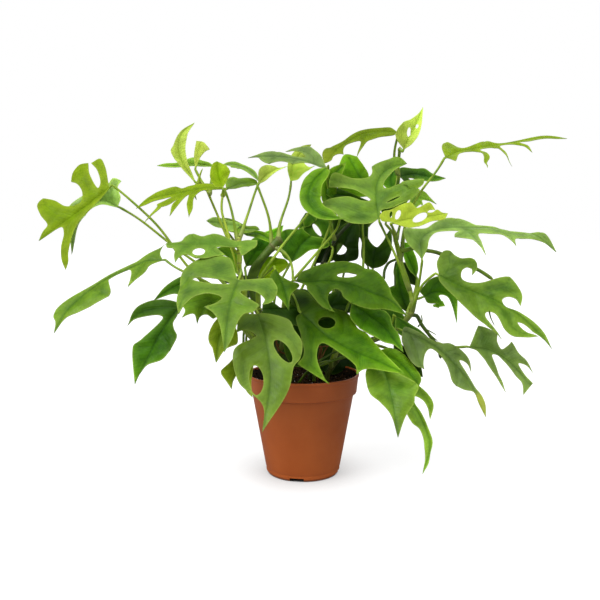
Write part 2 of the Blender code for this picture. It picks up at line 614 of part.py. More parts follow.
leaf("leaf_centre_large", "light", on=("vine_right", 0.7),
     stalk=[(100, -14, 223), (88, -14, 249), (81, -18, 261)],
     midrib=[(77, -24, 270), (76, -10, 290), (79, 5, 311), (91, 12, 324), (111, 16, 330)],
     face=(-0.05, -0.82, 0.57), fold=(5, 5), curl=(-8, -8),
     edge=[(10, 3), (13, 18), (34, 43), (94, 34), (99, 27, TIP), (88, 24), (59, 23),
           (41, 14), (41, 8), (66, 7), (91, 0, TIP), (87, -9), (81, -12), (75, -11), (61, -15, TIP),
           (56, -10), (51, -11), (47, -24), (47, -49), (38, -50, TIP), (36, -22), (24, -6),
           (23, -14), (28, -30), (24, -54), (19, -58, TIP), (16, -48), (-2, -32), (-5, -9)],
     holes=[(24, 17, 16, 2.5, 60)])
leaf("leaf_right_yellow_holed", "new", on=("vine_right", 0.985), stalk=[(93, -16, 261)],
     midrib=[(91, -30, 266), (108, -27, 270), (126, -25, 272), (148, -22, 276)],
     face=(0.05, -0.9, 0.42), fold=(8, 8), curl=(6, 6),
     edge=[(-11, -5), (-12, -10), (-7, -14), (1, -14), (22, -17), (26, -11),
           (42, -15), (46, -6, TIP), (40, -7), (37, -5), (42, -4), (48, -6), (52, -2),
           (58, 0, TIP), (52, 6), (38, 6), (25, 10), (13, 10)],
     holes=[(7, -7, 11, 5, -50), (28, 0, 18, 8, -25), (0, -9, 7, 3, -65)])

# Right: the long drooping leaf, the big one below it and the two at the low right.

leaf("leaf_right_drooping", "light", on=("vine_right", 0.64),
     stalk=[(121, -4, 196), (123, -12, 218)],
     midrib=[(123, -14, 230), (123, -8, 249), (146, 10, 261), (177, 6, 262), (211, -6, 260),
             (240, -12, 254), (262, -16, 236)],
     face=[(0, -0.95, 0.3), (0, -0.75, 0.66), (0, -0.45, 0.89), (0.1, -0.55, 0.83), (0.3, -0.6, 0.74)],
     fold=(3, 3), curl=(-4, -4),
     edge=[(9, -7), (22, -22, TIP), (28, -12), (39, -6), (65, -14), (76, -14),
           (90, -5, TIP), (107, -3), (125, 3), (145, 0), (159, -12), (179, 0, TIP), (166, 2),
           (151, 10), (137, 16), (131, 17), (131, 34, TIP), (125, 20), (118, 13), (107, 13),
           (95, 14), (101, 34), (109, 59, TIP), (97, 39), (83, 24), (68, 18), (69, 12), (73, 9),
           (57, 6), (44, 4), (13, 8)])
leaf("leaf_right_big", "light", on=("vine_right", 0.6),
     stalk=[(117, -20, 189), (119, -26, 204), (127, -30, 210)],
     midrib=[(136, -36, 214), (162, -42, 201), (195, -47, 187), (220, -57, 169), (239, -72, 145)],
     face=(0.12, -0.8, 0.59), fold=(5, 5), curl=(-7, -7),
     edge=[(-7, -12), (-8, -24, TIP), (-6, -30), (-1, -33), (6, -30), (12, -30),
           (21, -36), (29, -35), (34, -27), (31, -17, TIP), (28, -24), (22, -23), (19, -16),
           (23, -8), (41, -12), (64, -35, TIP), (79, -23), (84, -10, TIP), (77, -14), (70, -11),
           (67, -4), (72, 0), (87, -3), (115, -5), (133, 0, TIP), (121, 0), (109, 4), (96, 6),
           (92, 9), (103, 11), (116, 3, TIP), (111, 15), (101, 25), (85, 26), (66, 16), (56, 20),
           (57, 25), (92, 37, TIP), (52, 32), (28, 19), (4, 7)])
leaf("leaf_right_low_dark", "dark", on=("vine_right", 0.65), stalk=[(124, 4, 186)],
     midrib=[(130, 10, 188), (144, 13, 193), (157, 11, 189), (163, -5, 161)],
     face=(0, -0.85, 0.5),
     edge=[(-1, -7), (7, -11), (20, -19), (26, -13), (35, -7), (63, 0, TIP), (42, 1),
           (18, 5), (23, 10), (42, 9, TIP), (40, 21), (0, 9)])
leaf("leaf_lower_right_torn", "light", on=("runner_low_right", 0.72),
     stalk=[(154, -10, 136), (162, -18, 136)],
     midrib=[(173, -20, 138), (193, -21, 135), (212, -26, 124), (228, -36, 106)],
     face=(0.05, -0.85, 0.5), fold=(4, 4), curl=(-6, -6),
     edge=[(9, -25, TIP), (14, -24), (23, -21, TIP), (25, -12), (31, -7), (34, -14),
           (35, -21, TIP), (45, -15), (53, -15), (67, -11, TIP), (57, -11), (51, -6), (62, -3),
           (75, -3, TIP), (78, 14, TIP), (68, 6), (59, 6), (38, 3), (30, 1), (25, 4), (42, 18),
           (56, 22), (66, 27, TIP), (32, 20), (14, 10), (7, 3)])
leaf("leaf_lower_right_pointed", "mature", on=("vine_right", 0.36),
     stalk=[(97, -16, 155), (97, -26, 162)],
     midrib=[(101, -32, 157), (119, -36, 150), (135, -40, 141), (156, -52, 121), (168, -65, 102),
             (175, -81, 80)],
     face=(0.1, -0.8, 0.6), fold=(6, 6), curl=(-8, -8),
     edge=[(1, -5), (37, -5), (46, -13), (66, -15), (79, -7, TIP), (69, -10),
           (63, -6), (93, -2), (102, -4), (112, -4), (124, 0, TIP), (109, 2), (97, 2), (91, 11),
           (79, 17), (55, 7), (34, 6), (32, 15), (37, 24), (45, 30, TIP), (26, 32), (5, 15)])

# Low right, under the rim of the foliage.

leaf("leaf_low_right_lit", "light", on=("vine_right", 0.2), stalk=[(75, -24, 143), (75, -48, 140)],
     midrib=[(76, -60, 132), (82, -73, 111), (86, -86, 90), (88, -101, 66)],
     face=(-0.05, -0.85, 0.52), curl=(-10, -10),
     edge=[(7, 17), (32, 20), (43, 12), (57, 4), (79, 0, TIP), (59, -10), (48, -20),
           (42, -22), (36, -27), (31, -26), (19, -13)])
leaf("leaf_low_right_shoulder", "mature", on=("vine_right", 0.26), stalk=[(80, -27, 134)],
     midrib=[(75, -42, 137), (95, -48, 128), (113, -65, 108)], face=(0.05, -0.75, 0.66),
     edge=[(11, -10), (30, -9), (51, -6), (56, 1, TIP), (44, 5), (33, 11), (15, 15),
           (4, 9)])
leaf("leaf_low_right_sickle", "light", on=("vine_right", 0.3),
     stalk=[(95, -26, 136), (94, -44, 116)],
     midrib=[(98, -52, 106), (108, -57, 89), (119, -64, 67), (124, -71, 48), (115, -83, 25)],
     face=(0.2, -0.9, 0.38), fold=(5, 5), curl=(-6, -6),
     edge=[(2, -9), (20, -18), (32, -18), (43, -8, TIP), (32, -11), (23, -10),
           (17, -5), (22, -2), (33, -3), (52, -3), (62, -3), (72, -1), (84, -2), (95, 0, TIP),
           (83, 2), (69, 6), (48, 6), (38, 11), (11, 9)])

# Front: the large leaves that hide the soil and the front of the rim.

leaf("leaf_front_centre_big", "mature", on=("vine_centre", 0.46),
     stalk=[(-24, -12, 203), (-13, -24, 198), (-6, -36, 188)],
     midrib=[(-2, -42, 176), (9, -50, 167), (24, -61, 155), (47, -70, 143), (71, -77, 134),
             (96, -86, 123)],
     face=(0.05, -0.72, 0.69), fold=(6, 6), curl=(-10, -10),
     edge=[(-19, -2), (-24, -10), (-21, -19), (-15, -22), (6, -21), (29, -34),
           (48, -32), (59, -26), (71, -25), (94, -11), (121, 0, TIP), (108, 6), (84, 16),
           (80, 24, TIP), (75, 15), (40, 10), (44, 27), (58, 42), (65, 46, TIP), (38, 45, TIP),
           (37, 35), (33, 28), (22, 20), (1, 8)],
     holes=[(26, -11, 18, 14, -40)])
leaf("leaf_centre_broad", "mature", on=("vine_centre", 0.93),
     stalk=[(-21, -2, 239), (-14, -16, 230), (-10, -36, 219)],
     midrib=[(-7, -50, 209), (6, -51, 208), (26, -49, 209), (48, -52, 205), (67, -58, 198),
             (84, -64, 191), (98, -77, 178)],
     face=(0.02, -0.72, 0.69), fold=(6, 6), curl=(-8, -8),
     edge=[(4, -11), (33, -23), (44, -27), (54, -27), (61, -24), (67, -26),
           (80, -21), (89, -13), (96, -5), (120, 0, TIP), (99, 14), (72, 22), (52, 18), (47, 12),
           (40, 11), (29, 25), (48, 40, TIP), (22, 36), (14, 18), (11, 10), (10, 5)],
     holes=[(48, -10, 18, 6, -20)])
leaf("leaf_front_left_light", "light", on=("vine_left", 0.76),
     stalk=[(-63, -34, 221), (-60, -56, 218)],
     midrib=[(-62, -70, 211), (-67, -81, 197), (-70, -96, 177), (-71, -118, 149)],
     face=(-0.05, -0.78, 0.62), fold=(6, 6), curl=(-10, -10),
     edge=[(-22, 18), (-16, 43), (-4, 54), (8, 57), (18, 53), (28, 52), (41, 47, TIP),
           (32, 43), (24, 35), (20, 22), (23, 9), (29, 14), (33, 24, TIP), (39, 14), (50, 7),
           (79, 0, TIP), (66, -6), (46, -11), (39, -16), (37, -23), (26, -28, TIP), (13, -7),
           (9, -15), (10, -24), (16, -31), (25, -30, TIP), (21, -37), (2, -40), (-9, -31, TIP),
           (-2, -8)],
     holes=[(8, 25, 37, 5, 85)])
leaf("leaf_front_low", "light", on=("vine_left", 0.36), stalk=[(-54, -30, 186), (-48, -52, 184)],
     midrib=[(-44, -66, 178), (-37, -80, 159), (-32, -94, 140), (-30, -109, 119), (-36, -137, 83)],
     face=(0.02, -0.8, 0.6), fold=(7, 7), curl=(-10, -10),
     edge=[(-2, 14), (3, 20), (16, 25, TIP), (16, 16), (24, 8), (35, 31), (78, 28),
           (95, 6), (102, 2), (122, 0, TIP), (80, -17), (61, -22), (55, -28), (40, -33), (27, -29),
           (16, -27), (3, -9)],
     holes=[(72, 13, 33, 13, -5), (45, -14, 27, 11, -25)])

# Left.

leaf("leaf_left_dark", "dark", on=("vine_left", 0.29),
     stalk=[(-73, -31, 178), (-90, -33, 184), (-114, -28, 185)],
     midrib=[(-125, -27, 182), (-134, -32, 171), (-144, -42, 154), (-153, -52, 135),
             (-164, -67, 109)],
     face=(-0.1, -0.85, 0.52), fold=(9, 9), curl=(-6, -6),
     edge=[(0, 7), (21, 37), (42, 35, TIP), (33, 32), (20, 13), (20, 7), (49, 15),
           (56, 19), (63, 17), (93, 0, TIP), (80, 0), (71, -3), (59, -17), (34, -20), (26, -11),
           (20, -6), (12, -5)])
leaf("leaf_left_dark_behind", "dark", on=("vine_left", 0.34),
     stalk=[(-72, -14, 168), (-98, -17, 188)],
     midrib=[(-120, -14, 206), (-136, -16, 199), (-154, -21, 187)], face=(-0.1, -0.85, 0.5),
     edge=[(0, 7), (20, 6), (40, 0, TIP), (18, -8), (10, -14)])
leaf("leaf_left_long", "light", on=("vine_left", 0.4),
     stalk=[(-80, -21, 192), (-98, -22, 206), (-125, -19, 217), (-138, -12, 222)],
     midrib=[(-147, -8, 228), (-163, -7, 227), (-179, -14, 220), (-200, -24, 210),
             (-220, -39, 194), (-233, -54, 179), (-239, -74, 160)],
     face=(-0.05, -0.68, 0.73), fold=(5, 5), curl=(-8, -8),
     edge=[(4, 9), (3, 19), (-2, 24, TIP), (22, 5), (35, 4), (74, 3), (117, 11),
           (124, 9), (130, 4), (143, 0, TIP), (124, -4), (111, -13), (93, -19), (73, -23),
           (61, -3, TIP), (37, -2), (42, -18), (49, -27, TIP), (21, -14), (9, -6)])
leaf("leaf_left_level", "under", on=("vine_left", 0.93), stalk=[(-65, -24, 239)],
     midrib=[(-65, -42, 242), (-88, -37, 245), (-113, -37, 245), (-137, -38, 245)],
     face=(0, -0.6, 0.8), fold=(4, 4), curl=(-5, -5),
     edge=[(-9, -13), (-14, -3), (-18, 6), (-16, 14, TIP), (-6, 12), (4, 8),
           (29, 15), (37, 11), (49, 16), (55, 11), (58, 4), (73, 1, TIP), (71, -6), (64, -8),
           (63, -19), (61, -29, TIP), (58, -21), (51, -17), (42, -22), (31, -23), (7, -16, TIP),
           (20, -6), (10, -3)],
     holes=[(39, -13, 13, 11, 0)])
leaf("leaf_left_shade_fan", "mature", on=("vine_left", 0.42), stalk=[(-70, -36, 193)],
     midrib=[(-76, -52, 194), (-94, -54, 186), (-103, -64, 168)], face=(-0.1, -0.85, 0.5),
     edge=[(28, 23), (33, 17), (42, 17, TIP), (36, 12), (34, 7), (43, 0, TIP),
           (34, 0), (31, -6), (33, -13), (23, -17), (3, -9)])
leaf("leaf_left_olive_behind", "olive", on=("vine_left", 0.24), stalk=[(-68, -38, 177)],
     midrib=[(-74, -58, 173), (-81, -69, 155), (-83, -82, 133)], face=(0, -0.85, 0.5),
     edge=[(3, 8), (21, 11), (28, 9), (33, 5, TIP), (48, 0, TIP), (34, -8),
           (26, -18), (13, -16), (4, -8)])
leaf("leaf_left_olive_low", "olive", on=("vine_left", 0.12), stalk=[(-54, -40, 142)],
     midrib=[(-54, -56, 139), (-64, -63, 126), (-69, -75, 106)], face=(0, -0.85, 0.5),
     edge=[(6, 6), (18, 9), (27, 14), (35, 7), (42, 0, TIP), (32, 0), (26, -3),
           (35, -10), (42, -15), (47, -22, TIP), (35, -18), (13, -15), (3, -9)])
leaf("leaf_mid_left_level", "light", on=("vine_left", 0.84),
     stalk=[(-66, 6, 238), (-72, 14, 246), (-86, 24, 262)],
     midrib=[(-92, 30, 271), (-77, 23, 267), (-61, 15, 261), (-47, 12, 260)],
     face=(0, -0.55, 0.83),
     edge=[(6, -5), (35, -4), (46, -5), (51, 0, TIP), (44, 7), (26, 16), (11, 12)])

# Middle, in the shade behind the front leaves.

leaf("leaf_back_centre_upper", "dark", on=("vine_centre", 0.35),
     stalk=[(-29, 10, 199), (-17, 12, 214)],
     midrib=[(-13, 16, 225), (-3, 27, 242), (15, 41, 262), (7, 51, 280)], face=(0.1, -0.85, 0.5),
     edge=[(1, -10), (24, -26), (37, -15), (66, -13), (77, 0, TIP), (64, 4),
           (59, -5), (41, -11), (41, 0), (46, 13), (44, 23), (27, 13), (10, 7)])
leaf("leaf_centre_left_pointed", "mature", on=("vine_centre", 0.66), stalk=[(-29, -16, 223)],
     midrib=[(-28, -34, 219), (-19, -44, 201), (-14, -56, 180)], face=(0.05, -0.85, 0.5),
     edge=[(8, -2), (17, -8), (23, -16), (31, -5), (47, 0, TIP), (38, 4), (21, 13),
           (6, 9)])
leaf("leaf_centre_dark", "dark", on=("vine_centre", 0.3), stalk=[(-48, -12, 176)],
     midrib=[(-42, -24, 178), (-8, -24, 179), (23, -23, 181), (54, -21, 183)], face=(0, -0.8, 0.6),
     edge=[(1, -6), (10, -8), (20, -1), (29, -4), (30, -13), (37, -20), (47, -20), (58, -11),
           (83, -16), (91, -4), (98, 0, TIP), (91, 10), (77, 11), (60, 17), (31, 22), (17, 12),
           (0, 7)])
leaf("leaf_centre_right_dark", "dark", on=("vine_right", 0.1), stalk=[(42, -38, 174)],
     midrib=[(49, -37, 185), (67, -44, 173), (81, -52, 162), (96, -68, 142)],
     face=(0.1, -0.75, 0.65),
     edge=[(16, -8), (29, -15), (36, -14), (44, -8), (55, -7), (74, 0, TIP),
           (63, 4), (54, 13), (10, 17)])
leaf("leaf_back_mid_dark", "dark", on=("vine_back", 0.22), stalk=[(42, 18, 200), (45, 24, 214)],
     midrib=[(47, 34, 224), (47, 45, 243), (56, 58, 264)], face=(0, -0.85, 0.5),
     edge=[(1, -12), (15, -16), (27, -12), (40, -12), (51, -6), (55, 4), (44, 11),
           (4, 14)],
     holes=[(16, -5, 15, 13, 85)])
leaf("leaf_back_right_dark", "dark", on=("vine_right", 0.16),
     stalk=[(70, 6, 185), (75, 14, 206)],
     midrib=[(76, 20, 218), (80, 32, 238), (98, 47, 260)],
     face=(0.1, -0.85, 0.5),
     edge=[(-1, 0, TIP), (3.5, -8), (13.5, -13.5), (24.5, -15.5), (31.5, -16.5), (28, -7.5),
           (27.5, 0), (38, 2), (49, 0), (58, -0.5, TIP), (45.5, 9), (30, 16.5), (9.5, 15),
           (2.5, 7.5)])
leaf("leaf_right_shade_blue", "dark", on=("vine_right", 0.55),
     stalk=[(122, 6, 199)],
     midrib=[(122, 14, 210), (116, 19, 225), (107, 25, 245)],
     face=(0.15, -0.9, 0.35),
     edge=[(-1, -0.5, TIP), (7, -4.5), (16, -5.5), (26.5, -4), (41, 0, TIP), (37, 7), (27.5, 9),
           (16, 8), (5.5, 5)])

# Back: three plain leaves that lean away over the rear of the rim.

REAR_EDGE = [(-8, 12), (4, 28), (24, 34), (46, 30, TIP), (40, 17), (48, 10),
             (60, 18), (72, 18, TIP), (64, 8), (80, 5), (94, 0, TIP), (76, -8), (58, -12),
             (62, -26, TIP), (46, -24), (34, -12), (34, -26), (28, -34, TIP), (6, -28), (-8, -12)]
leaf("leaf_rear_left", "dark", on=("vine_centre", 0.5), stalk=[(-48, 34, 196)],
     midrib=[(-54, 50, 206), (-64, 78, 198), (-72, 102, 178), (-76, 118, 152)],
     face=(-0.2, 0.5, 0.84), edge=REAR_EDGE)
leaf("leaf_rear_right", "mature", on=("vine_back", 0.26), stalk=[(34, 44, 192)],
     midrib=[(42, 56, 202), (54, 82, 196), (62, 106, 178), (66, 122, 152)],
     face=(0.2, 0.5, 0.84), edge=REAR_EDGE)
leaf("leaf_rear_high", "mature", on=("vine_back", 0.68), stalk=[(72, 54, 282)],
     midrib=[(66, 68, 284), (58, 92, 278), (50, 114, 262), (44, 130, 238)],
     face=(0.05, 0.5, 0.86), edge=REAR_EDGE)
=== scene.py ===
"""The looks of the potted mini monstera: fine leaves and stems, soil and pot, on the frame.

Lengths are millimetres until a mesh is made: X to the right, Y to the back, Z up, from the
centre of the pot's underside. A leaf is drawn on its own blade: millimetres along the midrib
from the stalk, and across it, positive on the right of someone who looks from the stalk to the
tip with the leaf's face up. The first lists of stems and leaves repeat the part's own; the last
one holds pieces that only this scene has.
"""
import heapq
from math import cos, hypot, pi, radians, sin
import bmesh
import bpy
import numpy as np
from mathutils import Matrix, Vector, noise
from mathutils.geometry import delaunay_2d_cdt


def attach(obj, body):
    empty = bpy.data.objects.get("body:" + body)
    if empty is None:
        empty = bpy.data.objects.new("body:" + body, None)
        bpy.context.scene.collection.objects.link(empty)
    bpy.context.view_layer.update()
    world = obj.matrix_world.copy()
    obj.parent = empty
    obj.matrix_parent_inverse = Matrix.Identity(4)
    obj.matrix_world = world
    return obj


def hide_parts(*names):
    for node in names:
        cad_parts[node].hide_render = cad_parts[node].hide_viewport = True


METRES = 0.001
FAR_AWAY = 99.0              # stands for a distance where nothing is near

POT_HEIGHT = 107.5
RIM_RADIUS = 60.0
RIM_BAND = 21.0              # height of the thicker band below the lip
BAND_RADIUS = 57.6           # at the band's lower edge
WALL_RADIUS = 54.4           # just under the band
BAND_STEP = 3.0              # the inner wall widens to the band over this height
FOOT_STEP = 7.0              # height of the small step above the foot
FOOT_RADIUS = 39.6
WALL = 1.6
FLOOR = 2.0
LIP_ROUND = 0.8
UNDER_BAND = POT_HEIGHT - RIM_BAND
WALL_BREAKS = (UNDER_BAND + BAND_STEP + 0.1, UNDER_BAND - 1.0, FLOOR + 3.0)  # heights inside
POT_SEGMENTS = 160
POT_ROUND = 0.9              # radius of its rounded corners
DRAIN_SLOTS = 4
DRAIN_WIDTH = 15.0
DRAIN_HEIGHT = 4.0
DRAIN_DEPTH = 24.0           # of the cutter, across the foot's corner
DRAIN_FROM_FRONT = radians(-10)  # one of them is turned this far from the front

SOIL_TOP = 96.0
SOIL_EDGE = 106.8            # the soil is pressed up this high against the wall
SOIL_FLAT = 44.0             # radius of its level middle
SOIL_PITCH = 1.1             # between the points of its surface
SOIL_ROUGH = 1.3             # height of its crumbs
SOIL_SEGMENTS = 300
CRUMB_SIZE = 6.0
CLOD_SIZE = 15.0
FIBRE_STEP = 1.9             # between the points of a fibre on the soil
FIBRE_POINTS = 6
FIBRE_RADII = (0.32, 0.14)
CHIP_ROUGH = 0.45            # a lump's surface goes in and out by this share
STREWN = 55.0                # no fibre and no lump's middle lies further out than this

STEM_SIDES = 14
STEM_STEP = 2.5
STEM_DEPTH = 4.0             # a stem starts this far under the soil's level
STEM_RISE = 12.0             # and first rises straight up over this length
STEM_ROUGH = 0.05            # its thickness wanders by this share
STEM_ROUGH_SIZE = 9.0
STEM_TIP = 2.2               # its end is rounded off over this length
STEM_BLUNT = 0.4             # and would come to a point this far past it
NODE_SWELL = 0.22            # a stem thickens by this share where a leaf leaves it
NODE_REACH = 3.0             # over this length

STALK_SIDES = 12
STALK_STEP = 3.0
STALK_RADIUS = 1.55          # where it leaves the stem
STALK_END = 1.15             # where it meets the blade
STALK_SHOULDER = 2.0         # it narrows to the blade over this length
STALK_BEND = 0.35            # a stalk runs straight out over this part of its first stretch
STALK_BEND_MOST = 1.2
STALK_EASE = 30              # times that its bends are smoothed
SHEATH = 0.45                # the stalk clasps the stem over this share of its length
SHEATH_WIDER = 1.1           # and is this much thicker at its very foot
STALK_KNEE = 0.25            # the swelling of a stalk just below the blade
STALK_KNEE_FROM = 5.0        # how far below
STALK_KNEE_HALF = 3.5

BASE_HALF = 0.9              # half of the blade's width at the stalk
BLADE = 0.5                  # thickness of a leaf
KEEL_ABOVE = 0.1             # and this much more above its midrib
KEEL_BELOW = 0.8             # and below it, at the stalk's end
KEEL_HALF = 1.3
EDGE_STEP = 1.7              # between the points of a leaf's edge
PITCH = 2.3                  # between the points of a leaf's surface
PITCH_ROW = 0.866            # their rows are closer by this factor, so that triangles are even
OFF_RIB = 0.4                # they keep this share of the pitch from the rows at the midrib
OFF_EDGE = 0.6               # and this share from the edge
RIB_OFF_EDGE = 0.45          # those at the midrib may come this near to the edge
WAY_EDGE = 0.5               # a way costs 1 / (this + its distance from the edge) a millimetre
RIB_FINE = 3.0               # between the points at which a midrib's curve is worked out
RIB_ROWS = (0.0, 1.0, -1.0)  # rows of points along the midrib, and how far beside it they lie
RIB_STEP = 2.0               # between the points of such a row
RIB_START = 0.04             # side veins meet the midrib past this share of its length
VEIN_STEP = 1.2              # between the points of a side vein
VEIN_EASE = 12               # times that its bends are smoothed
VEIN_TURN = 14.0             # a side vein turns towards the stalk this near to the midrib
VEIN_SLANT = 0.5             # by this share of how far inside that it is
RIB_GROOVE = 0.8             # depth of the groove over the midrib
RIB_GROOVE_HALF = 1.5
VEIN_GROOVE = 0.7
VEIN_GROOVE_HALF = 1.6
SWELL = 2.2                  # height of the blade between its veins
SWELL_REACH = 8.0            # it rises over this distance from a vein
SWELL_EDGE = 7.0             # and over this one from the edge
WAVES = (                    # height and size of its waves, where they are full, and a shift
    (3.2, 42, 25, 0),
    (0.7, 15, 12, 3),
)
LOBE_LEAST = 9.0             # a lobe shorter than this has no vein of its own
LOBE_APART = 9.0             # between the tips of two lobes with veins
TIP = True                   # marks a sharp point of a leaf's edge

# Painted light and shade: leaves deep in the crown are made darker for the shade they sit in, and
# leaves in the light lighter.
TONE_AND_PAINTED_LIGHT = {                   # how light a leaf is: its own tone with painted light and shade
    0.38: "leaf_back_mid_dark shade_centre_back shade_in_window shade_right_upper",
    0.6: "leaf_centre_broad leaf_centre_dark leaf_top_arching shade_in_left_window shade_mid_top "
         "shade_right_low",
    0.85: "leaf_back_right_dark leaf_centre_left_pointed leaf_crest_fingered leaf_front_low "
          "leaf_lower_right_pointed leaf_rear_high leaf_rear_left leaf_rear_right "
          "leaf_right_top_trailing leaf_upper_left_fan shade_behind_big",
    1.1: "leaf_centre_large leaf_left_level leaf_left_long leaf_lower_right_torn",
    1.3: "leaf_centre_big_curl leaf_crest_arching leaf_crest_cupped leaf_crest_pale "
         "leaf_crest_small_young leaf_crest_tall_young leaf_left_dark leaf_left_dark_behind "
         "leaf_left_olive_low leaf_low_right_lit leaf_mid_left_level leaf_right_yellow_holed "
         "shade_brown_holed shade_curl_inner shade_large_slit shade_right_node",
    1.5: "leaf_left_olive_behind leaf_left_shade_fan leaf_low_right_shoulder leaf_right_dark "
         "leaf_right_drooping shade_curl_fingers shade_left_stems shade_right_shoulder",
    1.8: "leaf_crest_level leaf_back_centre_upper leaf_centre_behind_lobe leaf_centre_right_dark "
         "leaf_low_right_sickle leaf_right_low_dark leaf_right_spike_behind leaf_top_unfurling "
         "leaf_top_yellow_behind leaf_upper_left_behind shade_olive_inner shade_right_middle "
         "shade_top_strip",
    2.3: "shade_crest_right shade_level_left",
    3.2: "leaf_right_shade_blue shade_left_inner",
}
WARMER = {                   # how far a leaf leans to yellow
    "leaf_crest_small_young": 0.35, "leaf_right_yellow_holed": 0.4, "leaf_front_low": 0.06,
    "leaf_crest_lower": 0.12, "leaf_crest_level": 0.1, "leaf_left_shade_fan": 0.08,
}
PAINTED_LIGHT_TO_TIP = {                   # painted light and shade: how much lighter a leaf is made towards its tip, or darker below 0
    "leaf_front_centre_big": 0.55, "leaf_left_dark": 0.4, "leaf_right_dark": 0.5,
    "leaf_low_right_lit": -0.5, "leaf_right_low_dark": 0.4, "leaf_centre_broad": 0.25,
    "leaf_left_shade_fan": -0.4, "leaf_top_yellow_behind": -0.6, "leaf_upper_left_behind": -0.5,
    "leaf_right_big": 0.2, "leaf_low_right_shoulder": -0.3, "leaf_centre_left_pointed": 0.25,
    "leaf_crest_pale": 0.4, "leaf_top_unfurling": 0.3, "leaf_centre_dark": -0.35,
    "leaf_back_right_dark": 0.4, "leaf_back_mid_dark": 0.4, "leaf_left_olive_low": 0.4,
    "leaf_right_shade_blue": 0.3, "leaf_right_drooping": -0.2, "shade_left_inner": 0.8,
    "shade_right_middle": 0.8,
}
LOOKS = {                    # leaves that look unlike the others of their age; silvery is partly a painted sheen
    "silvery": "leaf_right_drooping leaf_upper_left_behind leaf_lower_right_torn "
               "leaf_lower_right_pointed leaf_top_centre_long shade_level_left",
    "pale": "leaf_top_yellow_behind leaf_crest_tall_young leaf_crest_small_young leaf_crest_pale "
            "leaf_top_unfurling",
}
PALE_TIPS = {"leaf_lower_right_pointed": 1.0, "leaf_top_arching": 0.4}  # how yellow a tip turns
LIT_STALKS = {"leaf_top_arching"}  # a leaf painted dark whose stalk is kept bright, as painted light
STEM_SKINS = {               # stems that look unlike the others; shaded and lit are painted shade and light
    "lit": "vine_right",
    "shaded": "vine_back",
    "shoot": "vine_left shoot_upper_left shoot_crest crest_sheath crest_curl",
    "sheath": "vine_centre runner_low_right sheath_centre brown_stem_tall brown_stem_short "
              "old_strip thin_finger",
    "dead": "dead_stalk dead_strip_left dead_strip_low dead_strip_right dead_strip_top "
            "dead_strip_slant",
}

FLOOR_HALF = 30.0            # metres
FLOOR_GLOW = 0.76            # the floor shines this strongly, for the camera only
CONTACT = 70.0               # a painted contact shadow dims it this near to what stands on it
SURROUND_LIGHT = 0.22
SURROUND_SHOWN = 1.0
LIGHTS = [                   # name, the way it comes from, how wide it looks in degrees, strength
    ("key", (-1.0, -0.7, 1.0), 32.0, 2.1),
    ("side", (1.0, -0.5, 0.5), 40.0, 0.9),
    ("top", (0.0, -0.3, 1.0), 60.0, 1.8),
    ("back", (0.2, 1.0, 0.8), 60.0, 0.7),
]
CAMERA_PLACE = (-0.0032, -0.72, 0.252)
CAMERA_TILT = radians(5.3)   # downwards
CAMERA_LENS = 40.86

rng = np.random.default_rng(7)


def by_name(groups):
    """Each name's group, from the names that each group holds."""
    return {name: group for group, names in groups.items() for name in names.split()}


TONE_AND_PAINTED_LIGHT_OF = by_name(TONE_AND_PAINTED_LIGHT)
LOOK_OF = by_name(LOOKS)
STEM_SKIN_OF = by_name(STEM_SKINS)


# Curves

def between(before, start, end, after, count):
    """Count points of a centripetal Catmull-Rom curve, from the start up to just before the end."""
    corners = [before, start, end, after]
    knots = [0.0]
    for near, far in zip(corners, corners[1:]):
        knots.append(knots[-1] + max(np.linalg.norm(far - near), 1e-6) ** 0.5)
    times = np.linspace(knots[1], knots[2], count, endpoint=False)[:, None]

    def blend(first, second, since, until):
        return ((until - times) * first + (times - since) * second) / (until - since)

    lower = [blend(corners[i], corners[i + 1], knots[i], knots[i + 1]) for i in range(3)]
    middle = [blend(lower[i], lower[i + 1], knots[i], knots[i + 2]) for i in range(2)]
    return blend(middle[0], middle[1], knots[1], knots[2])


def facets(start, end, step):
    return max(1, round(np.linalg.norm(end - start) / step))


def open_curve(points, step):
    """A smooth curve through points in space, cut into facets of about the step."""
    through = [np.array(point, float) for point in points]
    if len(through) == 2:
        return np.linspace(through[0], through[1], facets(through[0], through[1], step) + 1)
    ends = [2 * through[0] - through[1], *through, 2 * through[-1] - through[-2]]
    runs = [between(*ends[i:i + 4], facets(ends[i + 1], ends[i + 2], step))
            for i in range(len(through) - 1)]
    return np.vstack([*runs, through[-1]])


def closed_curve(edge, step):
    """A leaf's edge: smooth from tip to tip, with a sharp corner at each of its tips."""
    points = [np.array(entry[:2], float) for entry in edge]
    sharp = [len(entry) > 2 for entry in edge]
    runs = []
    for i in range(len(points)):
        start, end = points[i], points[(i + 1) % len(points)]
        before = 2 * start - end if sharp[i] else points[i - 1]
        after = 2 * end - start if sharp[(i + 1) % len(points)] else points[(i + 2) % len(points)]
        runs.append(between(before, start, end, after, facets(start, end, step)))
    return np.vstack(runs)


def distances(path):
    """How far along a path each of its points lies."""
    return np.concatenate([[0.0], np.cumsum(np.linalg.norm(np.diff(path, axis=0), axis=1))])


def unit(rows):
    return rows / np.linalg.norm(rows, axis=1)[:, None]


def directions(path):
    """The direction of a path at each of its points, halfway between its stretches there."""
    steps = unit(np.diff(path, axis=0))
    return unit(np.vstack([steps[0], steps[:-1] + steps[1:], steps[-1]]))


def at_distance(values, marks, where):
    """Rows of values, given at the marks, read off at other places."""
    return np.stack([np.interp(where, marks, column) for column in values.T], axis=-1)


def bump(distance, width):
    """1 at no distance, and next to nothing past twice the width."""
    return np.exp(-(np.asarray(distance) / width) ** 2)


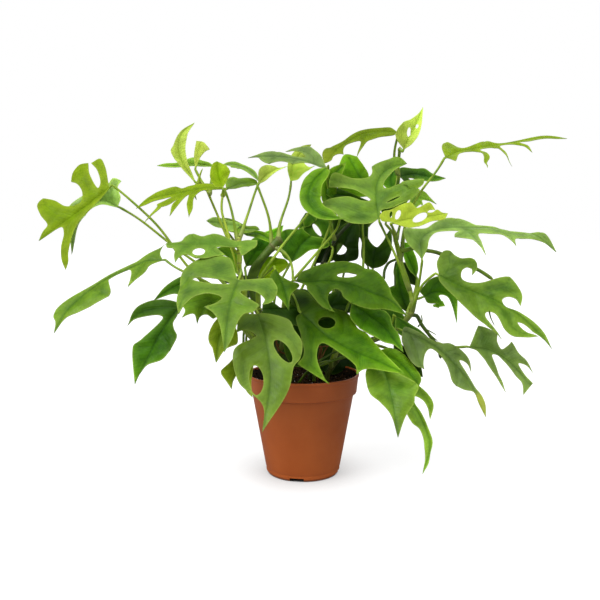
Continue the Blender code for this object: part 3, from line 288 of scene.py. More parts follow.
def ramp(value, start, end):
    """0 up to the start, 1 from the end on, and a smooth rise in between."""
    share = np.clip((np.asarray(value, float) - start) / (end - start), 0, 1)
    return share * share * (3 - 2 * share)


def noise_at(points, size, seed):
    """Smooth noise from -1 to 1 at points, with features of about a size."""
    shift = Vector((seed * 17.3, seed * 5.1, seed * 9.7))
    return np.array([noise.noise(Vector(point) / size + shift) for point in points])


# Meshes

def placed(name, data):
    """A new object in the scene, from a mesh, a light or a camera."""
    made = bpy.data.objects.new(name, data)
    bpy.context.scene.collection.objects.link(made)
    return made


def mesh_of(name, made):
    """A mesh from a bmesh, which ends here."""
    mesh = bpy.data.meshes.new(name)
    made.to_mesh(mesh)
    made.free()
    return mesh


def add_piece(name, made, skins, replaced=(), values=None, sharp=60):
    """A named piece from a bmesh in millimetres, riding on the one body, with its vertex values."""
    bmesh.ops.scale(made, vec=Vector((METRES, METRES, METRES)), verts=made.verts)
    mesh = mesh_of(name, made)
    for key, rows in (values or {}).items():
        layer = mesh.attributes.new(key, "FLOAT_VECTOR", "POINT")
        layer.data.foreach_set("vector", np.asarray(rows, np.float32).ravel())
    mesh.shade_smooth()
    mesh.set_sharp_from_angle(angle=radians(sharp))
    for skin in skins:
        mesh.materials.append(skin)
    piece = placed(name, mesh)
    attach(piece, "root")
    if replaced:
        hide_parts(*replaced)
    return piece


def round_pairs(loop):
    """Each entry of a loop with the next one, and the last with the first."""
    return zip(loop, (*loop[1:], loop[0]))


def sweep(made, path, radii, sides, side=(1.0, 0.0, 0.0), first=None, last=None):
    """Rings of vertices along a path, joined by faces; first and last turn the end rings."""
    heading = directions(path)
    if first is not None:
        heading[0] = first
    if last is not None:
        heading[-1] = last
    side = np.array(side, float)
    rings = []
    for place, ahead, radius in zip(path, heading, radii):
        side = side - ahead * np.dot(side, ahead)
        side = side / np.linalg.norm(side)
        up = np.cross(ahead, side)
        turns = [2 * pi * (k + 0.5) / sides for k in range(sides)]
        rings.append([made.verts.new(place + radius * (cos(turn) * side + sin(turn) * up))
                      for turn in turns])
    for low, high in zip(rings, rings[1:]):
        for k in range(sides):
            made.faces.new((low[k - 1], low[k], high[k], high[k - 1]))
    return rings


def tube(made, path, radii, sides):
    """A swept tube, closed at both ends."""
    rings = sweep(made, path, radii, sides)
    made.faces.new(list(reversed(rings[0])))
    made.faces.new(rings[-1])


# Stems

STEMS = {}                   # the path and the radii of each stem
NODES = {}                   # how far along each stem its leaves leave it


def stem_place(stem_name, part, toward):
    """A stalk's start inside a stem at a part of its length, its way out, the stem's radius."""
    path, radii = STEMS[stem_name]
    marks = distances(path)
    where = part * marks[-1]
    NODES[stem_name].append(where)
    centre = at_distance(path, marks, where)
    ahead = at_distance(directions(path), marks, where)
    out = np.array(toward, float) - centre
    out = out - ahead * np.dot(out, ahead) / np.dot(ahead, ahead)
    return centre, out / np.linalg.norm(out), np.interp(where, marks, radii)


def stem(name, path, radii, root=None, on=None):
    """Note a stem's path, from the soil, from another stem or as it is; grow_stems makes it."""
    points = path
    if root:
        start = np.array((*root, SOIL_TOP - STEM_DEPTH))
        points = [start, start + np.array((0.0, 0.0, STEM_RISE)), *path]
    elif on:
        start, first, radius = stem_place(*on, path[0])
        points = [start, start + radius * first, *path]
    curve = open_curve(points, STEM_STEP)
    marks = distances(curve)
    STEMS[name] = (curve, np.interp(marks, (0, marks[-1]), radii))
    NODES[name] = []


def grow_stems():
    """Every stem, thicker at the nodes where its leaves leave it, with a rounded end."""
    for seed, (name, (path, radii)) in enumerate(STEMS.items()):
        marks = distances(path)
        nodes = np.array([*NODES[name], -FAR_AWAY])
        away = np.abs(marks[:, None] - nodes).min(axis=1)
        rough = STEM_ROUGH * noise_at(path, STEM_ROUGH_SIZE, seed)
        swell = 1 + NODE_SWELL * bump(away, NODE_REACH) + rough
        swell = swell * np.minimum((marks[-1] - marks + STEM_BLUNT) / STEM_TIP, 1) ** 0.5
        made = bmesh.new()
        tube(made, path, radii * swell, STEM_SIDES)
        bmesh.ops.recalc_face_normals(made, faces=made.faces)
        rows = [(gap, 0.0, 0.0) for gap in away for _ in range(STEM_SIDES)]
        replaced = [name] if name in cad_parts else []
        skin = SKINS[STEM_SKIN_OF.get(name, "stem")]
        add_piece(name + "_fine", made, [skin], replaced, {"stem": rows})


# Leaves

class Blade:
    """A leaf's middle surface: a midrib, and two halves that fold and curl away from it."""

    def __init__(self, midrib, face, fold, curl):
        self.rib = open_curve(midrib, RIB_FINE)
        self.marks = distances(self.rib)
        self.length = self.marks[-1]
        self.ahead = directions(self.rib)
        facing = np.atleast_2d(np.array(face, float))
        spread = np.linspace(0, self.length, len(facing))
        toward = at_distance(facing, spread, self.marks) if len(facing) > 1 else facing
        up = toward - self.ahead * (toward * self.ahead).sum(axis=1)[:, None]
        self.up = unit(up)
        self.fold = np.radians(fold)
        self.bend = np.radians(curl) / (0.5 * self.length)

    def place(self, along, across):
        """Points of the surface and its normals there."""
        along, across = np.asarray(along, float), np.asarray(across, float)
        on_rib = np.clip(along, 0, self.length)
        centre = at_distance(self.rib, self.marks, on_rib)
        ahead = unit(at_distance(self.ahead, self.marks, on_rib))
        up = at_distance(self.up, self.marks, on_rib)
        up = unit(up - ahead * (up * ahead).sum(axis=-1)[..., None])
        right = np.cross(ahead, up)
        half = (across < 0).astype(int)
        start = self.fold[half]
        bend = np.where(np.abs(self.bend[half]) < 1e-6, 1e-6, self.bend[half])
        turned = start + bend * np.abs(across)
        out = np.sign(across) * (np.sin(turned) - np.sin(start)) / bend
        lift = (np.cos(start) - np.cos(turned)) / bend
        point = centre + ahead * (along - on_rib)[..., None]
        point = point + right * out[..., None] + up * lift[..., None]
        tilt = np.where(across == 0, 0.0, turned) * np.sign(across)
        normal = up * np.cos(tilt)[..., None] - right * np.sin(tilt)[..., None]
        return point, normal


def hole_curve(along, across, length, width, turn):
    """An oval hole in a blade, its long side turned this many degrees away from the midrib."""
    count = max(12, round((length + width) / EDGE_STEP))
    angle = np.linspace(0, 2 * pi, count, endpoint=False)
    far = 0.5 * length * np.cos(angle)
    wide = 0.5 * width * np.sin(angle)
    turn = radians(turn)
    return np.stack([along + far * cos(turn) - wide * sin(turn),
                     across + far * sin(turn) + wide * cos(turn)], axis=1)


def inside(places, loop):
    """Which places lie inside a closed loop."""
    hits = np.zeros(len(places), bool)
    for (x1, y1), (x2, y2) in zip(loop, np.roll(loop, -1, axis=0)):
        crosses = (y1 > places[:, 1]) != (y2 > places[:, 1])
        height = np.where(crosses, places[:, 1] - y1, 0.0)
        hits ^= crosses & (places[:, 0] < x1 + (x2 - x1) * height / (y2 - y1 or 1.0))
    return hits


def base_corners(edge):
    """The two corners of the edge on either side of the stalk, first and last in its order."""
    outline = np.array([(0.0, 0.0), *(entry[:2] for entry in edge)])
    following = np.roll(outline, -1, axis=0)
    area = (outline[:, 0] * following[:, 1] - following[:, 0] * outline[:, 1]).sum()
    right, left = (0.0, BASE_HALF, TIP), (0.0, -BASE_HALF, TIP)
    return (right, left) if area < 0 else (left, right)


def edge_distance(places, loops):
    """How far each place lies from the nearest of the closed loops."""
    nearest = np.full(len(places), 1e9)
    for loop in loops:
        start, run = loop, np.roll(loop, -1, axis=0) - loop
        away = places[:, None] - start
        share = (away * run).sum(axis=2) / np.maximum((run * run).sum(axis=1), 1e-9)
        away = away - np.clip(share, 0, 1)[..., None] * run
        nearest = np.minimum(nearest, np.linalg.norm(away, axis=2).min(axis=1))
    return nearest


def lattice(loops, length):
    """Points over the blade in a close triangular pattern, with rows along the midrib."""
    low, high = loops[0].min(axis=0), loops[0].max(axis=0)
    rows = np.arange(low[1], high[1], PITCH * PITCH_ROW)
    columns = np.arange(low[0], high[0], PITCH)
    spread = np.array([(column + (k % 2) * PITCH / 2, row)
                       for k, row in enumerate(rows) for column in columns])
    widest = max(np.abs(RIB_ROWS))
    off_rib = (np.abs(spread[:, 1]) > widest + OFF_RIB * PITCH) | (spread[:, 0] > length)
    spread = spread[off_rib]
    rib = [(along, row) for row in RIB_ROWS for along in np.arange(1.5, length - 2, RIB_STEP)]
    spread = np.vstack([spread, rib])
    spread = spread[inside(spread, loops[0])]
    for hole in loops[1:]:
        spread = spread[~inside(spread, hole)]
    clear = np.where(np.abs(spread[:, 1]) > widest, OFF_EDGE * PITCH, RIB_OFF_EDGE)
    return spread[edge_distance(spread, loops) > clear]


def ways_to_rib(flat, links, depth, length):
    """Down the middle of each point's lobe: how far it is to the midrib, and the next point."""
    cost = np.full(len(flat), np.inf)
    reach, onward = np.zeros(len(flat)), np.full(len(flat), -1)
    on_rib = (np.abs(flat[:, 1]) < 0.1) & (flat[:, 0] > RIB_START * length) & (flat[:, 0] < length)
    queue = []
    for start in np.nonzero(on_rib)[0]:
        cost[start] = 0
        queue.append((0.0, int(start)))
    heapq.heapify(queue)
    while queue:
        spent, here = heapq.heappop(queue)
        if spent > cost[here]:
            continue
        for there in links[here]:
            run = hypot(*(flat[there] - flat[here]))
            total = spent + run / (WAY_EDGE + depth[there])
            if total < cost[there]:
                cost[there], reach[there], onward[there] = total, reach[here] + run, here
                heapq.heappush(queue, (total, there))
    return reach, onward


def side_veins(flat, links, depth, outline, length):
    """A vein down the middle of each lobe: points across the blade, from its tip to the midrib."""
    reach, onward = ways_to_rib(flat, links, depth, length)
    window = round(LOBE_APART / EDGE_STEP)
    veins = []
    for k in range(outline):
        near = [reach[(k + step) % outline] for step in range(-window, window + 1)]
        if reach[k] < LOBE_LEAST or reach[k] < max(near) or flat[k, 0] > length - LOBE_LEAST:
            continue
        path, here = [], k
        while here >= 0:
            path.append(flat[here])
            here = onward[here]
        path = np.array(path)
        for _ in range(VEIN_EASE):
            path[1:-1] = 0.25 * (path[:-2] + path[2:]) + 0.5 * path[1:-1]
        near_rib = np.clip(VEIN_TURN - np.abs(path[:, 1]), 0, VEIN_TURN)
        path[:, 0] = np.maximum(path[:, 0] - VEIN_SLANT * near_rib, 1.0)
        marks = distances(path)
        veins.append(at_distance(path, marks, np.arange(0, marks[-1], VEIN_STEP)))
    return veins


def nearest(places, points):
    """How far each place lies from the nearest point, in small batches."""
    if not len(points):
        return np.full(len(places), FAR_AWAY)
    batches = np.array_split(places, max(1, len(places) // 400))
    return np.concatenate([np.linalg.norm(batch[:, None] - points, axis=2).min(axis=1)
                           for batch in batches])


def blade_mesh(blade, edge, holes):
    """The blade's flat points and triangles, each point's distance from the edge, and the veins."""
    first, last = base_corners(edge)
    loops = [closed_curve([first, *edge, last], EDGE_STEP), *(hole_curve(*hole) for hole in holes)]
    spread = lattice(loops, blade.length)
    corners, sides = [], []
    for loop in loops:
        count = len(corners)
        sides += [(count + k, count + (k + 1) % len(loop)) for k in range(len(loop))]
        corners += [Vector(place) for place in loop]
    corners += [Vector(place) for place in spread]
    flat, _, triangles, *_ = delaunay_2d_cdt(corners, sides, [], 0, 1e-4)
    flat = np.array([place[:] for place in flat])
    centres = np.array([flat[list(triangle)].mean(axis=0) for triangle in triangles])
    kept = inside(centres, loops[0])
    for hole in loops[1:]:
        kept &= ~inside(centres, hole)
    triangles = [triangle for triangle, keep in zip(triangles, kept) if keep]
    links = [set() for _ in flat]
    for triangle in triangles:
        for here, there in round_pairs(triangle):
            links[here].add(there)
            links[there].add(here)
    depth = edge_distance(flat, loops)
    veins = side_veins(flat, links, depth, len(loops[0]), blade.length)
    return flat, triangles, depth, veins


def relief(flat, depth, to_vein, length, seed):
    """The height of the blade's grooves, swellings and waves at its points."""
    along, across = flat[:, 0], np.abs(flat[:, 1])
    off_base = ramp(along, 0, 10) if flat[:, 0].max() > 30 else ramp(along, 0, 5)
    to_line = np.minimum(across, to_vein)
    groove = -RIB_GROOVE * bump(across, RIB_GROOVE_HALF) * (1 - 0.6 * along / length)
    groove = groove - VEIN_GROOVE * bump(to_vein, VEIN_GROOVE_HALF) * ramp(across, 1, 5)
    swell = SWELL * (1 - bump(to_line, SWELL_REACH)) * ramp(depth, 0, SWELL_EDGE)
    places = np.column_stack([flat, np.zeros(len(flat))])
    waves = sum(height * noise_at(places, size, seed + shift) * ramp(across, 2, full)
                for height, size, full, shift in WAVES)
    return (groove + swell + waves) * off_base


def two_faces(made, point, normal, flat, length):
    """The vertices of a blade's upper and under face, further apart at its keel."""
    keel = bump(flat[:, 1], KEEL_HALF) * (1 - flat[:, 0] / length).clip(0, 1)
    above = point + (0.5 * BLADE + KEEL_ABOVE * keel)[:, None] * normal
    below = point - (0.5 * BLADE + KEEL_BELOW * keel)[:, None] * normal
    return [made.verts.new(place) for place in above], [made.verts.new(place) for place in below]


def leaf_values(name, flat, depth, to_vein, length, marks):
    """What the vertices keep for the leaf's materials: upper face, under face, then stalk."""
    spots = np.column_stack([flat[:, 0] / length, flat[:, 1], depth])
    lines = np.column_stack([np.minimum(to_vein, 30.0), np.abs(flat[:, 1]), np.zeros(len(flat))])
    on_stalk = np.outer(np.repeat(marks, STALK_SIDES), (0.0, 0.0, 1.0))
    # each leaf's brightness, with its painted light and shade, lighter or darker towards its tip
    shade = TONE_AND_PAINTED_LIGHT_OF.get(name, 1.0)
    shades = shade * (1 + PAINTED_LIGHT_TO_TIP.get(name, 0.0) * (2 * spots[:, 0] - 1).clip(-1, 1))
    stalk_shade = max(shade, 1.0) if name in LIT_STALKS else shade
    shades = np.concatenate([shades, shades, np.full(len(on_stalk), stalk_shade)])
    extras = np.tile((PALE_TIPS.get(name, 0.0), WARMER.get(name, 0.0)), (len(shades), 1))
    return {"spot": np.vstack([spots, spots, np.zeros_like(on_stalk)]),
            "line": np.vstack([lines, lines + (0, 0, 1), on_stalk]),
            "tone_and_light": np.column_stack([shades, extras])}


def leaf(name, age, on, stalk, midrib, face, edge, holes=(), fold=(8, 8), curl=(-12, -12)):
    """A veined blade of even thickness, and the stalk that carries it from a stem."""
    seed = sum(ord(letter) * k for k, letter in enumerate(name, 1)) % 89
    blade = Blade(midrib, face, fold, curl)
    flat, triangles, depth, veins = blade_mesh(blade, edge, holes)
    to_vein = nearest(flat, np.vstack(veins) if veins else ())
    point, normal = blade.place(flat[:, 0], flat[:, 1])
    point = point + relief(flat, depth, to_vein, blade.length, seed)[:, None] * normal
    made = bmesh.new()
    top, under = two_faces(made, point, normal, flat, blade.length)
    right, left = (int(np.linalg.norm(flat - corner, axis=1).argmin())
                   for corner in ((0.0, BASE_HALF), (0.0, -BASE_HALF)))
    used = {}
    for triangle in triangles:
        made.faces.new([top[k] for k in triangle])
        made.faces.new([under[k] for k in reversed(triangle)]).material_index = 1
        for start, end in round_pairs(triangle):
            used.setdefault(frozenset((start, end)), []).append((start, end))
    for ends, runs in used.items():
        if len(runs) == 1 and ends != {right, left}:
            start, end = runs[0]
            made.faces.new((top[end], top[start], under[start], under[end]))
    blade_faces = len(made.faces)
    rings, marks = grow_stalk(made, blade, on, stalk)
    opening = [top[right], top[left], under[left], under[right]]
    bmesh.ops.bridge_loops(made, edges=[*loop_edges(made, rings[0]), *loop_edges(made, opening)])
    made.faces.new(rings[-1])
    bmesh.ops.recalc_face_normals(made, faces=made.faces)
    made.faces.ensure_lookup_table()
    for stalk_face in made.faces[blade_faces:]:
        stalk_face.material_index = 2
    look = LOOK_OF.get(name, age)
    add_piece(name + "_fine", made, [SKINS[look], SKINS[look + "_under"], SKINS["stalk"]],
              [name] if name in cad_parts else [],
              leaf_values(name, flat, depth, to_vein, blade.length, marks), sharp=50)


def shade_leaf(name, age, on, stalk, midrib, face, edge, holes=()):
    """A leaf that only this scene has, folded and curled a little."""
    leaf(name, age, on, stalk, midrib, face, edge, holes, fold=(5, 5), curl=(-9, -9))


def loop_edges(made, ring):
    """The edges between a ring's neighbouring vertices, made where there are none."""
    return [made.edges.get(ends) or made.edges.new(ends) for ends in round_pairs(ring)]


def onward(end, out, toward):
    """A point straight out of an end, so that a stalk leaves it straight before it turns."""
    reach = STALK_BEND * np.linalg.norm(np.array(toward, float) - end)
    return end + min(reach, STALK_BEND_MOST) * out


def grow_stalk(made, blade, on, stalk):
    """The stalk's rings, from the blade to inside the stem, and each ring's share of its length."""
    centre, first, radius = stem_place(*on, stalk[0])
    ahead, up = blade.ahead[0], blade.up[0]
    end = blade.rib[0] - STALK_SHOULDER * ahead
    seat = centre + first * radius
    bends = [onward(end, -ahead, stalk[-1]), *reversed(stalk), onward(seat, first, stalk[0])]
    path = open_curve([end, *bends, seat, centre + 0.3 * radius * first], STALK_STEP)
    for _ in range(STALK_EASE):
        path[2:-1] = 0.5 * path[2:-1] + 0.25 * (path[1:-2] + path[3:])
    marks = distances(path)
    share = marks / marks[-1]
    radii = STALK_END + (STALK_RADIUS - STALK_END) * share
    radii = radii + SHEATH_WIDER * ramp(share, 1 - SHEATH, 1) ** 1.5
    radii = radii + STALK_KNEE * bump(marks - STALK_KNEE_FROM, STALK_KNEE_HALF)
    rings = sweep(made, path, radii, STALK_SIDES, side=np.cross(ahead, up), first=-ahead,
                  last=-first)
    return rings, share


# Materials

class Shader:
    """One material, built node by node; a value may be a number, a colour or a node's output."""

    def __init__(self, name):
        self.material = bpy.data.materials.new(name)
        self.material.use_nodes = True
        self.tree = self.material.node_tree
        self.surface = self.tree.nodes["Principled BSDF"]
        self.space = self.add("ShaderNodeTexCoord").outputs["Object"]

    def add(self, kind, values=(), **settings):
        made = self.tree.nodes.new(kind)
        for key, setting in settings.items():
            setattr(made, key, setting)
        for key, value in dict(values).items():
            self.feed(made.inputs[key], value)
        return made

    def feed(self, socket, value):
        if isinstance(value, bpy.types.NodeSocket):
            self.tree.links.new(value, socket)
        elif isinstance(value, tuple) and socket.type == "RGBA":
            socket.default_value = (*value, 1.0)
        else:
            socket.default_value = value

    def value(self, key):
        """The three numbers that each vertex of a piece keeps under a name."""
        made = self.add("ShaderNodeAttribute", attribute_name=key)
        return self.add("ShaderNodeSeparateXYZ", {0: made.outputs["Vector"]}).outputs

    def math(self, operation, first, second=0.0, third=0.0):
        values = {0: first, 1: second, 2: third}
        return self.add("ShaderNodeMath", values, operation=operation).outputs[0]

    def rise(self, value, start, end, low=0.0, high=1.0):
        """The value mapped smoothly from start..end to low..high."""
        values = {"Value": value, "From Min": start, "From Max": end, "To Min": low, "To Max": high}
        return self.add("ShaderNodeMapRange", values, interpolation_type="SMOOTHSTEP").outputs[0]

    def mix(self, share, first, second):
        values = {0: share, 6: first, 7: second}
        return self.add("ShaderNodeMix", values, data_type="RGBA").outputs[2]

    def scaled(self, color, value):
        """A colour made lighter or darker by a factor."""
        values = {"Color": color, "Value": value}
        return self.add("ShaderNodeHueSaturation", values).outputs[0]

    def noise(self, size, detail=3.0, rough=0.5, warp=0.0):
        """Noise from 0 to 1 with features of about a size in millimetres."""
        values = {"Vector": self.space, "Scale": 1.0 / (size * METRES), "Detail": detail,
                  "Roughness": rough, "Distortion": warp}
        return self.add("ShaderNodeTexNoise", values).outputs[0]

    def bump(self, height, depth, normal=None):
        """A bump of a height from 0 to 1, this many millimetres deep."""
        values = {"Height": height, "Distance": depth * METRES}
        if normal:
            values["Normal"] = normal
        return self.add("ShaderNodeBump", values).outputs[0]

    def finish(self, color, roughness, normal, sheen=0.5):
        """Set the surface's inputs; sheen is how strongly it mirrors light head on."""
        inputs = self.surface.inputs
        for key, value in (("Base Color", color), ("Roughness", roughness), ("Normal", normal)):
            self.feed(inputs[key], value)
        inputs["Specular IOR Level"].default_value = sheen
        return self.material

    def shine_through(self, color, share):
        """Let part of the light from behind show on the surface, in a colour."""
        behind = self.add("ShaderNodeBsdfTranslucent", {"Color": color})
        both = self.add("ShaderNodeMixShader", {0: share, 1: self.surface.outputs[0],
                                                2: behind.outputs[0]})
        self.tree.links.new(both.outputs[0], self.tree.nodes["Material Output"].inputs["Surface"])


RIM_AND_GLOW_GREEN = (0.45, 0.55, 0.10)     # a leaf's very edge: its paler margin and painted light shining through it
TIP_YELLOW = (0.42, 0.50, 0.04)
WARM_YELLOW = (0.45, 0.50, 0.07)
FOOT_OLIVE = (0.30, 0.33, 0.11)    # where a stalk clasps its stem
STALK_GLOW = (0.45, 0.6, 0.08)
NODE_BROWN = (0.16, 0.12, 0.05)
BEHIND = 0.2                       # how much of a leaf's look is light that shines through it
BEHIND_STALK = 0.12
GROOVE_SHADE = (0.6, 0.42)            # painted shade: how far the upper face darkens in the grooves of its midrib and side veins


def leaf_skin(name, deep, fresh, margin, glow, gloss, sheen, under):
    """A leaf's upper or under face: painted shade in the upper one's vein grooves, fresh between,
    paler margin.
    """
    skin = Shader(name)
    along, across, depth = skin.value("spot")[:3]
    to_vein, to_rib, _ = skin.value("line")[:3]
    shade, pale_tip, warmth = skin.value("tone_and_light")[:3]
    cloud = skin.noise(26, 3.0, 0.55)
    mottle = skin.noise(3.4, 2.0, 0.5)
    fresh_share = skin.rise(skin.math("ADD", cloud, skin.math("MULTIPLY", mottle, 0.2)), 0.36, 0.8)
    color = skin.mix(fresh_share, deep, fresh)
    edge_share = skin.rise(depth, 9.0, 0.0, 0.0, 0.55)
    color = skin.mix(edge_share, color, margin)
    # a thin pale line at the very edge: partly the margin's own colour, partly painted light
    # shining through it
    rim_and_glow_share = skin.rise(depth, 1.5, 0.2, 0.0, 0.6)
    color = skin.mix(rim_and_glow_share, color, skin.mix(0.4, margin, RIM_AND_GLOW_GREEN))
    # painted shade in the upper face's grooves along the midrib and side veins
    rib_shade, vein_shade = (0.0, 0.0) if under else GROOVE_SHADE
    color = skin.mix(skin.rise(to_rib, 2.6, 0.2, 0.0, rib_shade), color, deep)
    color = skin.mix(skin.rise(to_vein, 1.9, 0.2, 0.0, vein_shade), color, deep)
    if under:
        raised = skin.rise(to_rib, 1.6, 0.4, 0.0, 0.6)
        color = skin.mix(raised, color, margin)
    reach = skin.math("ABSOLUTE", across)
    slant = skin.math("MULTIPLY_ADD", along, 150.0, skin.math("MULTIPLY", reach, -1.0))
    pleat = skin.math("SINE", skin.math("MULTIPLY_ADD", skin.noise(16, 2.0), 6.0, slant))
    pleat_furrow_shade = skin.rise(pleat, -0.3, 1.0)
    # painted shade: darker lines along the pleats' furrows
    color = skin.mix(skin.math("MULTIPLY", pleat_furrow_shade, 0.07), color, deep)
    nearer = skin.math("MINIMUM", to_vein, to_rib)
    wobble = skin.math("MULTIPLY", skin.noise(9, 2.0), 2.4)
    wave = skin.math("SINE", skin.math("MULTIPLY", skin.math("ADD", nearer, wobble), 3.3))
    fine = skin.rise(wave, 0.35, 1.0)
    color = skin.mix(skin.math("MULTIPLY", fine, 0.12), color, margin)
    yellow = skin.math("MULTIPLY", skin.rise(along, 0.76, 0.84), pale_tip)
    color = skin.mix(yellow, color, TIP_YELLOW)
    color = skin.mix(warmth, color, WARM_YELLOW)
    patch = skin.rise(skin.noise(10, 3.0, 0.6), 0.3, 0.7, 0.86, 1.14)
    # brightness: the leaf's patchy colour, times its painted light and shade
    color = skin.scaled(color, skin.math("MULTIPLY", shade, patch))
    rough = skin.rise(skin.noise(7, 3.0), 0.25, 0.75, gloss, gloss + 0.15)
    height = skin.math("ADD", skin.math("MULTIPLY", wave, 0.35), skin.noise(0.9, 2.0))
    normal = skin.bump(height, 0.05)
    normal = skin.bump(skin.rise(pleat, -1.0, 1.0, 1.0, 0.0), 0.09, normal)
    normal = skin.bump(skin.noise(9, 2.0), 0.7, normal)
    at_line = 1.0 if under else 0.0
    normal = skin.bump(skin.rise(to_rib, 0.0, 1.1, at_line, 0.5), 0.35, normal)
    normal = skin.bump(skin.rise(to_vein, 0.0, 1.0, at_line, 0.5), 0.2, normal)
    skin.shine_through(skin.mix(0.35, color, glow), BEHIND)
    return skin.finish(color, rough, normal, sheen)


def stalk_skin(name, pale, green):
    """A leaf's stalk: green above, paler and browner at its clasping foot, with fine ridges."""
    skin = Shader(name)
    part = skin.value("line")[2]
    # a stalk is as light or dark as its leaf, painted light and shade included
    shade = skin.rise(skin.value("tone_and_light")[0], 0.4, 0.75, 0.4, 1.1)
    streak = skin.noise(1.2, 2.0, 0.6, 1.5)
    cloud = skin.noise(14, 2.0)
    color = skin.mix(skin.rise(cloud, 0.3, 0.7), green, pale)
    color = skin.mix(skin.rise(part, 0.72, 1.0, 0.0, 0.6), color, FOOT_OLIVE)
    color = skin.mix(skin.rise(streak, 0.5, 0.8, 0.0, 0.35), color, pale)
    color = skin.scaled(color, shade)
    skin.shine_through(skin.mix(0.5, color, STALK_GLOW), BEHIND_STALK)
    return skin.finish(color, skin.rise(cloud, 0.2, 0.8, 0.38, 0.52), skin.bump(streak, 0.12), 0.4)


def stem_skin(name, green, fresh, pale, painted_shade_low=1.0, low=0.25, high=0.32):
    """A climbing stem, ringed at each node, with short pale scars; down low it can be painted
    darker, as shade.
    """
    skin = Shader(name)
    away = skin.value("stem")[0]
    cloud = skin.noise(11, 3.0)
    streak = skin.noise(0.9, 3.0, 0.65, 1.0)
    color = skin.mix(skin.rise(cloud, 0.3, 0.7), green, fresh)
    color = skin.mix(skin.rise(away, 4.5, 0.5, 0.0, 0.45), color, pale)
    ring = skin.math("MULTIPLY", skin.rise(away, 1.3, 0.9), skin.rise(away, 0.3, 0.7))
    color = skin.mix(skin.math("MULTIPLY", ring, 0.6), color, NODE_BROWN)
    color = skin.mix(skin.rise(streak, 0.62, 0.8, 0.0, 0.4), color, pale)
    height = skin.add("ShaderNodeSeparateXYZ", {0: skin.space}).outputs[2]
    # painted shade: the stem is darker below the height low, fully bright from high
    color = skin.scaled(color, skin.rise(height, low, high, painted_shade_low, 1.0))
    normal = skin.bump(streak, 0.2)
    normal = skin.bump(skin.rise(away, 0.2, 1.2, 1.0, 0.0), 0.4, normal)
    return skin.finish(color, skin.rise(cloud, 0.2, 0.8, 0.42, 0.6), normal, 0.4)


def pot_skin(name):
    """Moulded terracotta-coloured plastic: a fine grain, faint clouds and scuffs."""
    skin = Shader(name)
    cloud = skin.noise(38, 3.0, 0.5)
    grain = skin.noise(0.35, 2.0, 0.6)
    scuff = skin.noise(4.5, 5.0, 0.75, 2.0)
    color = skin.mix(skin.rise(cloud, 0.3, 0.7), (0.425, 0.088, 0.010), (0.470, 0.104, 0.014))
    color = skin.mix(skin.rise(grain, 0.4, 0.7, 0.0, 0.12), color, (0.50, 0.14, 0.03))
    color = skin.mix(skin.rise(scuff, 0.64, 0.78, 0.0, 0.14), color, (0.52, 0.17, 0.05))
    height = skin.math("ADD", grain, skin.math("MULTIPLY", scuff, 0.4))
    rough = skin.rise(skin.noise(12, 3.0), 0.2, 0.8, 0.42, 0.54)
    return skin.finish(color, rough, skin.bump(height, 0.05), 0.4)


def soil_skin(name, dark, pale, pale_share):
    """Crumbly peat or bark: dark, with paler specks and fibres in the noise."""
    skin = Shader(name)
    crumbs = skin.noise(1.6, 6.0, 0.7)
    clods = skin.noise(7, 3.0, 0.6)
    specks = skin.noise(0.8, 3.0, 0.8, 0.8)
    color = skin.mix(skin.rise(clods, 0.35, 0.7), dark, tuple(1.9 * part for part in dark))
    color = skin.mix(skin.rise(specks, 0.58, 0.72, 0.0, pale_share), color, pale)
    rough = skin.rise(crumbs, 0.3, 0.7, 0.8, 0.98)
    return skin.finish(color, rough, skin.bump(crumbs, 0.9), 0.1)


def perlite_skin(name):
    skin = Shader(name)
    pores = skin.noise(0.5, 4.0, 0.7)
    color = skin.mix(pores, (0.45, 0.43, 0.38), (0.85, 0.84, 0.80))
    return skin.finish(color, 0.85, skin.bump(pores, 0.4))


def floor_skin(name):
    """A matt pale floor, almost even, that shows brighter than it lights, with painted contact
    shadow.
    """
    skin = Shader(name)
    cloud = skin.noise(420, 2.0)
    color = skin.mix(cloud, (0.29, 0.29, 0.29), (0.31, 0.31, 0.31))
    shown = skin.add("ShaderNodeLightPath").outputs["Is Camera Ray"]
    painted_contact_shadow = skin.add("ShaderNodeAmbientOcclusion", {"Distance": CONTACT * METRES})
    open_share = painted_contact_shadow.outputs["AO"]
    # painted contact shadow: the shine dims close to what stands on the floor
    glow = skin.rise(open_share, 0.45, 0.95, 0.64 * FLOOR_GLOW, FLOOR_GLOW)
    # painted shade: the shine dies out where the floor is most closed in, under the pot and in its
    # slots
    glow = skin.math("MULTIPLY", glow, skin.rise(open_share, 0.18, 0.36))
    skin.feed(skin.surface.inputs["Emission Strength"], skin.math("MULTIPLY", shown, glow))
    skin.feed(skin.surface.inputs["Emission Color"], (1.0, 1.0, 1.0))
    return skin.finish(color, 0.75, skin.bump(cloud, 0.01))


